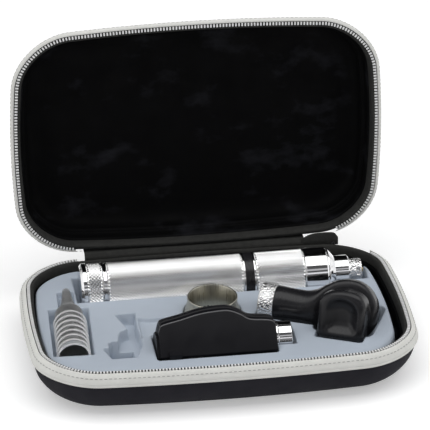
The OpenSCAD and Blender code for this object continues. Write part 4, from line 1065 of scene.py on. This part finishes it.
otoHousing = {   # along the neck: (x, front, back, down, up, tilt share)
    "stations": [(8.9, -9.9, 9.9, -9.9, 9.9, 0), (11.0, -9.9, 9.9, -9.9, 9.9, 0), (16, -9.5, 9.5, -9.7, 9.5, 0),
                 (22, -9.3, 9.2, -9.6, 9.2, 0.05), (27, -9.1, 9.5, -9.9, 9.4, 0.2), (32, -8.2, 11.4, -11.6, 11.2, 0.45),
                 (37, -5.8, 14.2, -13.6, 14.6, 0.75), (43, -4.4, 16.2, -14.0, 17.6, 1),
                 (50.4, -4.1, 16.8, -14.0, 18.9, 1), (56.4, -4.1, 16.4, -13.6, 17.8, 1),
                 (61.4, -4.0, 14.6, -12.0, 14.6, 1), (65, -3.2, 11.4, -8.6, 9.8, 1), (66.6, -1.4, 7.4, -4.2, 5.6, 1)],
}


def makeOtoHousing():
    line = smoothLine(otoHousing["stations"], 6)
    angles = np.arange(88) * 2 * math.pi / 88
    rings = []
    for x, front, back, down, up, share in line:
        roundness = 2.0 + 0.5 * share
        cs, sn = np.cos(angles), np.sin(angles)
        y = np.sign(cs) * np.abs(cs) ** (2 / roundness)
        z = np.sign(sn) * np.abs(sn) ** (2 / roundness)
        y = np.where(y > 0, y * back, -y * front)
        z = np.where(z > 0, z * up, -z * down)
        tilt = math.radians(-otoscope["tilt"] * share)
        cy, cz = 0.0, otoscope["barrelRise"] * share
        dy, dz = y - cy, z - cz
        rings.append(np.stack([np.full(len(angles), x), cy + dy * math.cos(tilt) - dz * math.sin(tilt),
                               cz + dy * math.sin(tilt) + dz * math.cos(tilt)], axis=1))
    addPiece("otoHousing", loft(rings, capStart=True, capEnd=True), "otoscope", finishes["gloss"],
             ("oto_neck", "oto_barrel"), otoFrame, sharp=70)


def archOutline(half, low, high, crown, corner, steps=10):
    # Block outline with an arched top and rounded lower corners
    angles = np.linspace(0, math.pi, 4 * steps)
    arch = [(half * math.cos(a), high - crown + crown * math.sin(a) ** 0.8) for a in angles]
    line = [(0, low)] + [(half, low)] + arch + [(-half, low), (0, low)]
    radii = [0, corner] + [0] * len(arch) + [corner, 0]
    return filleted(line, radii, steps)[:-1]


def makeEyepiece():
    o = otoscope
    half, height, thick = o["eyeWidth"] / 2, o["eyeHeight"], o["eyeThick"]
    low, high = -height / 2, height / 2
    start = o["eyeFrom"]
    levels = [(0, 0.6), (0, 0.0), (thick - 3.4, 0.0), (thick - 2.0, 0.35), (thick - 0.9, 1.1), (thick - 0.2, 2.3),
              (thick, 3.6)]
    rings = []
    for z, inset in smoothLine(levels[1:], 3):
        outline = archOutline(half - inset, low + inset, high - inset, 9.5, 3.6)
        rings.append(np.column_stack([outline, np.full(len(outline), start + z)]))
    n = len(rings[0])
    # the dish: rings shrink towards the middle and sink
    rimRing = rings[-1]
    centre = np.array([0, -0.6, 0])
    for t in (0.14, 0.3, 0.46, 0.6, 0.7):
        sink = -4.4 * (1 - (1 - t / 0.7) ** 2)
        ringVerts = rimRing * np.array([1 - t, 1 - t, 1]) + np.array([0, centre[1] * t, sink])
        rings.append(ringVerts)
    addPiece("otoEyepiece", loft(rings, capStart=True, capEnd=True), "otoscope", finishes["gloss"],
             ("oto_eyepiece",), barrelFrame(), sharp=60)


def makeOtoRest():
    o = otoscope
    r, bore, length = o["socket"], o["socketBore"], o["socketLength"]
    along = otoFrame @ Matrix.Rotation(math.radians(90), 4, "Y")
    ringProfile = filleted([(bore, 0), (r - 0.7, 0), (r, 0.8), (r, length - 1.8), (r - 0.35, length - 1.6),
                            (r - 0.35, length - 0.8), (r - 0.6, length), (bore, length)],
                           [0.3, 0.3, 0.5, 0.1, 0.1, 0.1, 0.3, 0.1])
    addPiece("otoSocketRing", turned(ringProfile, 128, loop=True), "otoscope", finishes["grainedChrome"],
             ("oto_socket_ring",), along)
    nose = filleted([(0, 0), (8.4, 0), (8.4, 2.6), (6.2, 4.4), (4.4, 10.4), (3.7, 11), (2.6, 11), (2.6, 8),
                     (0, 8)], [0, 0.3, 0.8, 1.2, 0.4, 0.2, 0.2, 0.2, 0])
    back = barrelFrame(-17) @ Matrix.Rotation(math.pi, 4, "X")
    addPiece("otoNoseCone", turned(nose, 96), "otoscope", finishes["gloss"],
             ("oto_nose_cone",), back)
    focus = filleted([(12.05, 0), (13.5, 0), (13.8, 0.4), (13.8, 3.4), (13.5, 3.8), (12.05, 3.8)], 0.15)
    addPiece("otoFocusRing", turned(focus, 128, loop=True), "focus_ring", finishes["satin"],
             ("oto_focus_ring",), barrelFrame(o["focusFrom"]))


makeOtoHousing()
makeEyepiece()
makeOtoRest()
print("otoscope made")


# Ophthalmoscope head: cross-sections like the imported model's, skinned along the case

scopeForm = {
    "stations": [(0, 0.60), (0.8, 0.68), (2.5, 0.76), (12, 0.845), (24, 0.96), (36, 1.0), (41, 0.975), (46, 0.885),
                 (51, 0.76), (60, 0.72), (63.5, 0.68), (65, 0.60)],
    "toe": [(0, 0.5), (0.1, 0.86), (0.26, 1), (0.71, 1), (0.935, 0.55), (1, 0.125)],
    "back": [(1, 0.44, 0.7), (0.935, 0.81, 0.9), (0.775, 1.125, 1)],
    "edge": 0.55, "seam": 0.25,
}


def leaned(y, z):
    # Upright coordinates to the leaning panel's own
    a = math.radians(scope["lean"])
    return y * math.cos(a) + z * math.sin(a), z * math.cos(a) - y * math.sin(a)


def scopePlace():
    s = scope
    return placed((s["x"], s["y"], s["z"]), ("X", s["lean"]))


def scopeSection(top, inset=0.0):
    # Across the body under the panel, from the panel's lower edge round the toe and back to its upper edge
    s, f = scope, scopeForm
    deep = -s["cover"] - f["seam"]
    toe = [leaned(s["depth"] * a, -s["sink"] * b) for a, b in f["toe"]]
    back = [leaned(s["depth"] * a, s["sink"] * b) for a, b, _ in f["back"]]
    back = [(w + (top - s["panel"]) * share, d) for (w, d), (_, _, share) in zip(back, f["back"])]
    edge = (top + s["sink"] * 0.1875, -s["sink"] * 0.225)
    line = [(top / 2, deep), (-0.5, deep)] + toe + back + [edge, (top + 2.2, deep), (top / 2, deep)]
    middle = np.mean(line, axis=0)
    line = [tuple(middle + (np.array(p) - middle) * (1 - inset)) for p in line]
    radii = [0, 0.3, 1.5, 2.5, 3, 3, 2.5, 2, 3, 4, 3, 1.0, 0.3, 0]
    return filleted(line, radii, 5)[:-1]


def makeScopeBody():
    s, f = scope, scopeForm
    rings = []
    line = smoothLine(f["stations"], 4)
    for x, share in line:
        end = min(x, s["length"] - x)
        inset = 0.07 * max(0, 1 - end / 1.6) ** 2
        section = scopeSection(share * s["panel"], inset)
        rings.append(np.column_stack([np.full(len(section), x), section]))
    addPiece("scopeHousing", loft(rings, capStart=True, capEnd=True), "ophthalmoscope", finishes["satin"],
             ("oph_housing",), scopePlace(), sharp=40)
    rings, bead = [], []
    for x, share in line:
        top = share * s["panel"]
        e, deep = f["edge"], -s["cover"]
        section = filleted([(top / 2, deep), (-0.3, deep), (0, -e * 1.4), (e, 0), (top - e, 0), (top + 0.45, -e * 1.5),
                            (top + 2.1, deep), (top / 2, deep)], [0, 0.2, 0.5, 0.5, 0.3, 0.4, 0.2, 0], 3)[:-1]
        end = min(x, s["length"] - x)
        shrink = 1 - 0.05 * max(0, 1 - end / 1.2) ** 2
        middle = np.array([top / 2, -s["cover"] / 2])
        rings.append(np.column_stack([np.full(len(section), x), middle + (section - middle) * shrink]))
        angle = np.arange(8) * math.pi / 4
        bead.append(np.column_stack([np.full(8, x), top - 0.1 + 0.42 * np.cos(angle), -0.22 + 0.42 * np.sin(angle)]))
    addPiece("scopeCover", loft(rings, capStart=True, capEnd=True), "ophthalmoscope", finishes["satin"],
             ("oph_cover",), scopePlace(), sharp=40)
    # the bead along the panel's upper edge is painted light grey as a highlight
    addPiece("scopePaintedHighlightLine", loft(bead, capStart=True, capEnd=True), "ophthalmoscope", finishes["edge"],
             (), scopePlace(), sharp=60)


def makeScopeWheel():
    # Lens wheel with rounded serrations and a dished face
    w = {"x": 30, "w": 18, "z": -12, "radius": 12, "thick": 3.4, "teeth": 36, "deep": 0.6, "bore": 1.6}
    angles = np.arange(w["teeth"] * 8) * 2 * math.pi / (w["teeth"] * 8)
    wave = 0.5 - 0.5 * np.cos(w["teeth"] * angles)
    rings = []
    t = w["thick"] / 2
    for z, inset, share in ((-t, 8.5, 0), (-t, 1.2, 0), (-t, 0.45, 1), (-t + 0.35, 0, 1), (t - 0.35, 0, 1), (t, 0.45, 1),
                            (t, 1.2, 0), (t - 0.5, 2.0, 0), (t - 0.5, 8.5, 0)):
        r = w["radius"] - inset - w["deep"] * share * wave
        rings.append(np.stack([r * np.cos(angles), r * np.sin(angles), np.full(len(angles), z)], axis=1))
    place = scopePlace() @ Matrix.Translation(Vector((w["x"], w["w"], w["z"])) * mm)
    addPiece("lensWheel", loft(rings, loop=True), "lens_wheel", finishes["satin"],
             ("oph_lens_wheel",), place, sharp=35)


def makeScopePost():
    # Socket post with a flange, seen from the front, and the dark collar that it stands on
    s = scope
    place = placed((s["x"] + s["length"], s["y"] + s["postY"], s["z"] + s["postZ"]), ("Y", 90))
    r, n = s["post"], s["postLength"]
    post = filleted([(s["postBore"], 1.1), (s["postBore"], n), (r - 1.0, n), (r - 0.5, n - 0.5), (r - 0.5, 2.1),
                     (r, 1.5), (r, 0.1), (s["postBore"], 0.1), (s["postBore"], 1.1)],
                    [0, 0.2, 0.2, 0.3, 0.15, 0.2, 0.2, 0.1, 0])[:-1]
    addPiece("scopePost", turned(post, 144, loop=True), "ophthalmoscope", finishes["chrome"],
             ("oph_post",), place, sharp=35)
    floor = filleted([(0, 0.2), (s["postBore"] + 0.4, 0.2), (s["postBore"] + 0.4, 1.0), (0, 1.0)], 0.1)
    addPiece("scopePostFloor", turned(floor, 72), "ophthalmoscope", finishes["satin"], (), place,
             sharp=35)


makeScopeBody()
makeScopeWheel()
makeScopePost()
print("ophthalmoscope made")


# Adapter ring and specula

def makeRing():
    g = ring
    profile = filleted([(g["bore"], 0), (g["foot"], 0), (g["foot"], 5.6), (14.0, 12.6), (13.75, 13.6),
                        (g["mouth"], 14.3), (g["mouth"], 15.7), (g["mouth"] - 0.3, 16), (g["bore"] + 0.3, 16),
                        (g["bore"], 15.6)], [0, 0.4, 0.8, 0.5, 0.3, 0.3, 0.2, 0.1, 0.1, 0.2])
    addPiece("adapterRing", turned(profile, 144, loop=True), "adapter_ring", finishes["ring"],
             ("adapter_ring",), placed((g["x"], g["y"], g["z"])), sharp=50)


def makeSpecula():
    g = nest
    shoulder, flare, r, wall, lip = g["length"] * 0.5, g["length"] * 0.71, g["radius"], g["wall"], g["lip"]
    end = g["length"]
    outer = [(2.1, 0), (4.1, shoulder), (r - 1.1, flare), (r - 0.5, end - 1.6), (r + lip, end - 0.9), (r + lip, end)]
    inner = [(r - 0.05 - wall, end), (r - 1.2 - wall, flare), (4.1 - wall, shoulder), (2.1 - wall, 0)]
    profile = filleted(outer + inner + [(2.1 - wall, 0)], [0.1, 3, 3, 0.3, 0.3, 0.2, 0.1, 3, 3, 0.1, 0])[:-1]
    for k in range(g["count"]):
        place = placed((g["x"], g["y"], g["z"]), ("Z", g["yaw"]), ("X", 90 + g["pitch"])) @ Matrix.Translation(
            (0, 0, k * g["step"] * mm))
        addPiece(f"earSpeculum{k + 1}", turned(profile, 72, loop=True), "specula", finishes["speculum"],
                 (f"speculum_{k + 1}",), place, sharp=50)


makeRing()
makeSpecula()
print("ring and specula made")


# CAD nodes that stay get their finish

kept = {
    "battery": "cell", "battery_spring": "zipMetal", "contact_pin": "brass", "lock_button": "button",
    "zip_slider": "zipMetal", "zip_pull": "zipMetal", "zip_end_stop": "zipMetal",
    "oto_window": "glass", "oto_air_port": "chrome", "oto_lamp": "lamp", "oph_lamp": "lamp",
    "oph_window": "glass", "oph_brow_rest": "satin", "oph_aperture_dial": "satin", "oph_filter_lever": "satin",
}
for node, finish in kept.items():
    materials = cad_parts[node].data.materials
    materials.clear()
    materials.append(finishes[finish])


# Stage, light and camera

stage = {"floor": 20.0, "floorColor": (0.90, 0.90, 0.90), "floorGlow": 0.35}
camera = {"aim": (-0.00075, 0, 0.08457), "distance": 1.66, "azimuth": -8.378, "elevation": 27.141, "roll": 0.0735,
          "lens": 251.24}
studio = {   # one wide softbox overhead; the walls at either side are pale, those before and behind dark
    "softbox": {"at": (0, -0.155, 1.5), "wide": 2.4, "deep": 1.29, "power": 20},
    "walls": {"From Min": 0.5, "From Max": 0.9, "To Min": 0.05, "To Max": 1.05},
    "strips": [(0.05, 0.0), (0.12, 0.02), (0.20, 0.14), (0.36, 0.16), (0.40, 0.9), (0.46, 0.9), (0.49, 0.02),
               (0.58, 0.03), (0.62, 0.5), (0.68, 0.5), (0.71, 0.04), (0.85, 0.03)],
}


def makeFloor():
    half = stage["floor"]
    mesh = bpy.data.meshes.new("studioFloor")
    mesh.from_pydata([(-half, -half, 0), (half, -half, 0), (half, half, 0), (-half, half, 0)], [], [(0, 1, 2, 3)])
    floor = bpy.data.objects.new("studioFloor", mesh)
    scene.collection.objects.link(floor)
    paint = Finish("floorPaint", stage["floorColor"], 0.9, Specular_IOR_Level=0.1)
    path = paint.add("ShaderNodeLightPath").outputs
    seen = paint.math("MAXIMUM", path["Is Camera Ray"], path["Is Glossy Ray"])
    seen = paint.math("MAXIMUM", seen, path["Is Transmission Ray"])
    paint.set("Emission Color", (1, 1, 1, 1))
    paint.drive("Emission Strength", paint.math("MULTIPLY", seen, stage["floorGlow"]))
    mesh.materials.append(paint.material)


def makeWorld():
    world = bpy.data.worlds.new("studio")
    scene.world = world
    world.use_nodes = True
    nodes, links = world.node_tree.nodes, world.node_tree.links
    coordinates = nodes.new("ShaderNodeTexCoord")
    split = nodes.new("ShaderNodeSeparateXYZ")
    links.new(coordinates.outputs["Generated"], split.inputs[0])
    across = nodes.new("ShaderNodeMath")
    across.operation = "ABSOLUTE"
    links.new(split.outputs["X"], across.inputs[0])
    level = nodes.new("ShaderNodeMapRange")
    level.interpolation_type = "SMOOTHSTEP"
    links.new(across.outputs[0], level.inputs["Value"])
    for socket, value in studio["walls"].items():
        level.inputs[socket].default_value = value
    # pale strips in front, one over another, which the polished metal shows as lines
    strips = nodes.new("ShaderNodeValToRGB")
    links.new(split.outputs["Z"], strips.inputs["Fac"])
    ramp = strips.color_ramp.elements
    while len(ramp) < len(studio["strips"]):
        ramp.new(0.5)
    for element, (position, shade) in zip(ramp, studio["strips"]):
        element.position = position
        element.color = (shade * 0.96, shade * 0.96, shade, 1)
    before = nodes.new("ShaderNodeMapRange")
    links.new(split.outputs["Y"], before.inputs["Value"])
    for socket, value in {"From Min": -0.2, "From Max": 0.0, "To Min": 1.0, "To Max": 0.0}.items():
        before.inputs[socket].default_value = value
    front = nodes.new("ShaderNodeVectorMath")
    front.operation = "SCALE"
    links.new(strips.outputs["Color"], front.inputs[0])
    links.new(before.outputs["Result"], front.inputs["Scale"])
    both = nodes.new("ShaderNodeVectorMath")
    links.new(front.outputs[0], both.inputs[0])
    links.new(level.outputs["Result"], both.inputs[1])
    links.new(both.outputs[0], nodes["Background"].inputs["Color"])


def makeSoftbox():
    spec = studio["softbox"]
    light = bpy.data.lights.new("softbox", "AREA")
    light.shape = "RECTANGLE"
    light.size, light.size_y = spec["wide"], spec["deep"]
    light.energy = spec["power"]
    lamp = bpy.data.objects.new("softbox", light)
    lamp.location = spec["at"]
    scene.collection.objects.link(lamp)


def makeCamera():
    data = bpy.data.cameras.new("photoCamera")
    data.lens = camera["lens"]
    data.sensor_width = 36
    data.clip_end = 50
    cam = bpy.data.objects.new("photoCamera", data)
    az, el = math.radians(camera["azimuth"]), math.radians(camera["elevation"])
    away = Vector((math.sin(az) * math.cos(el), -math.cos(az) * math.cos(el), math.sin(el)))
    cam.location = Vector(camera["aim"]) + away * camera["distance"]
    look = (-away).to_track_quat("-Z", "Y").to_matrix().to_4x4()
    cam.matrix_world = Matrix.Translation(cam.location) @ look @ Matrix.Rotation(
        math.radians(-camera["roll"]), 4, "Z")
    scene.collection.objects.link(cam)
    scene.camera = cam


makeFloor()
makeWorld()
makeSoftbox()
makeCamera()
scene.view_settings.view_transform = "Standard"

print("stage made")
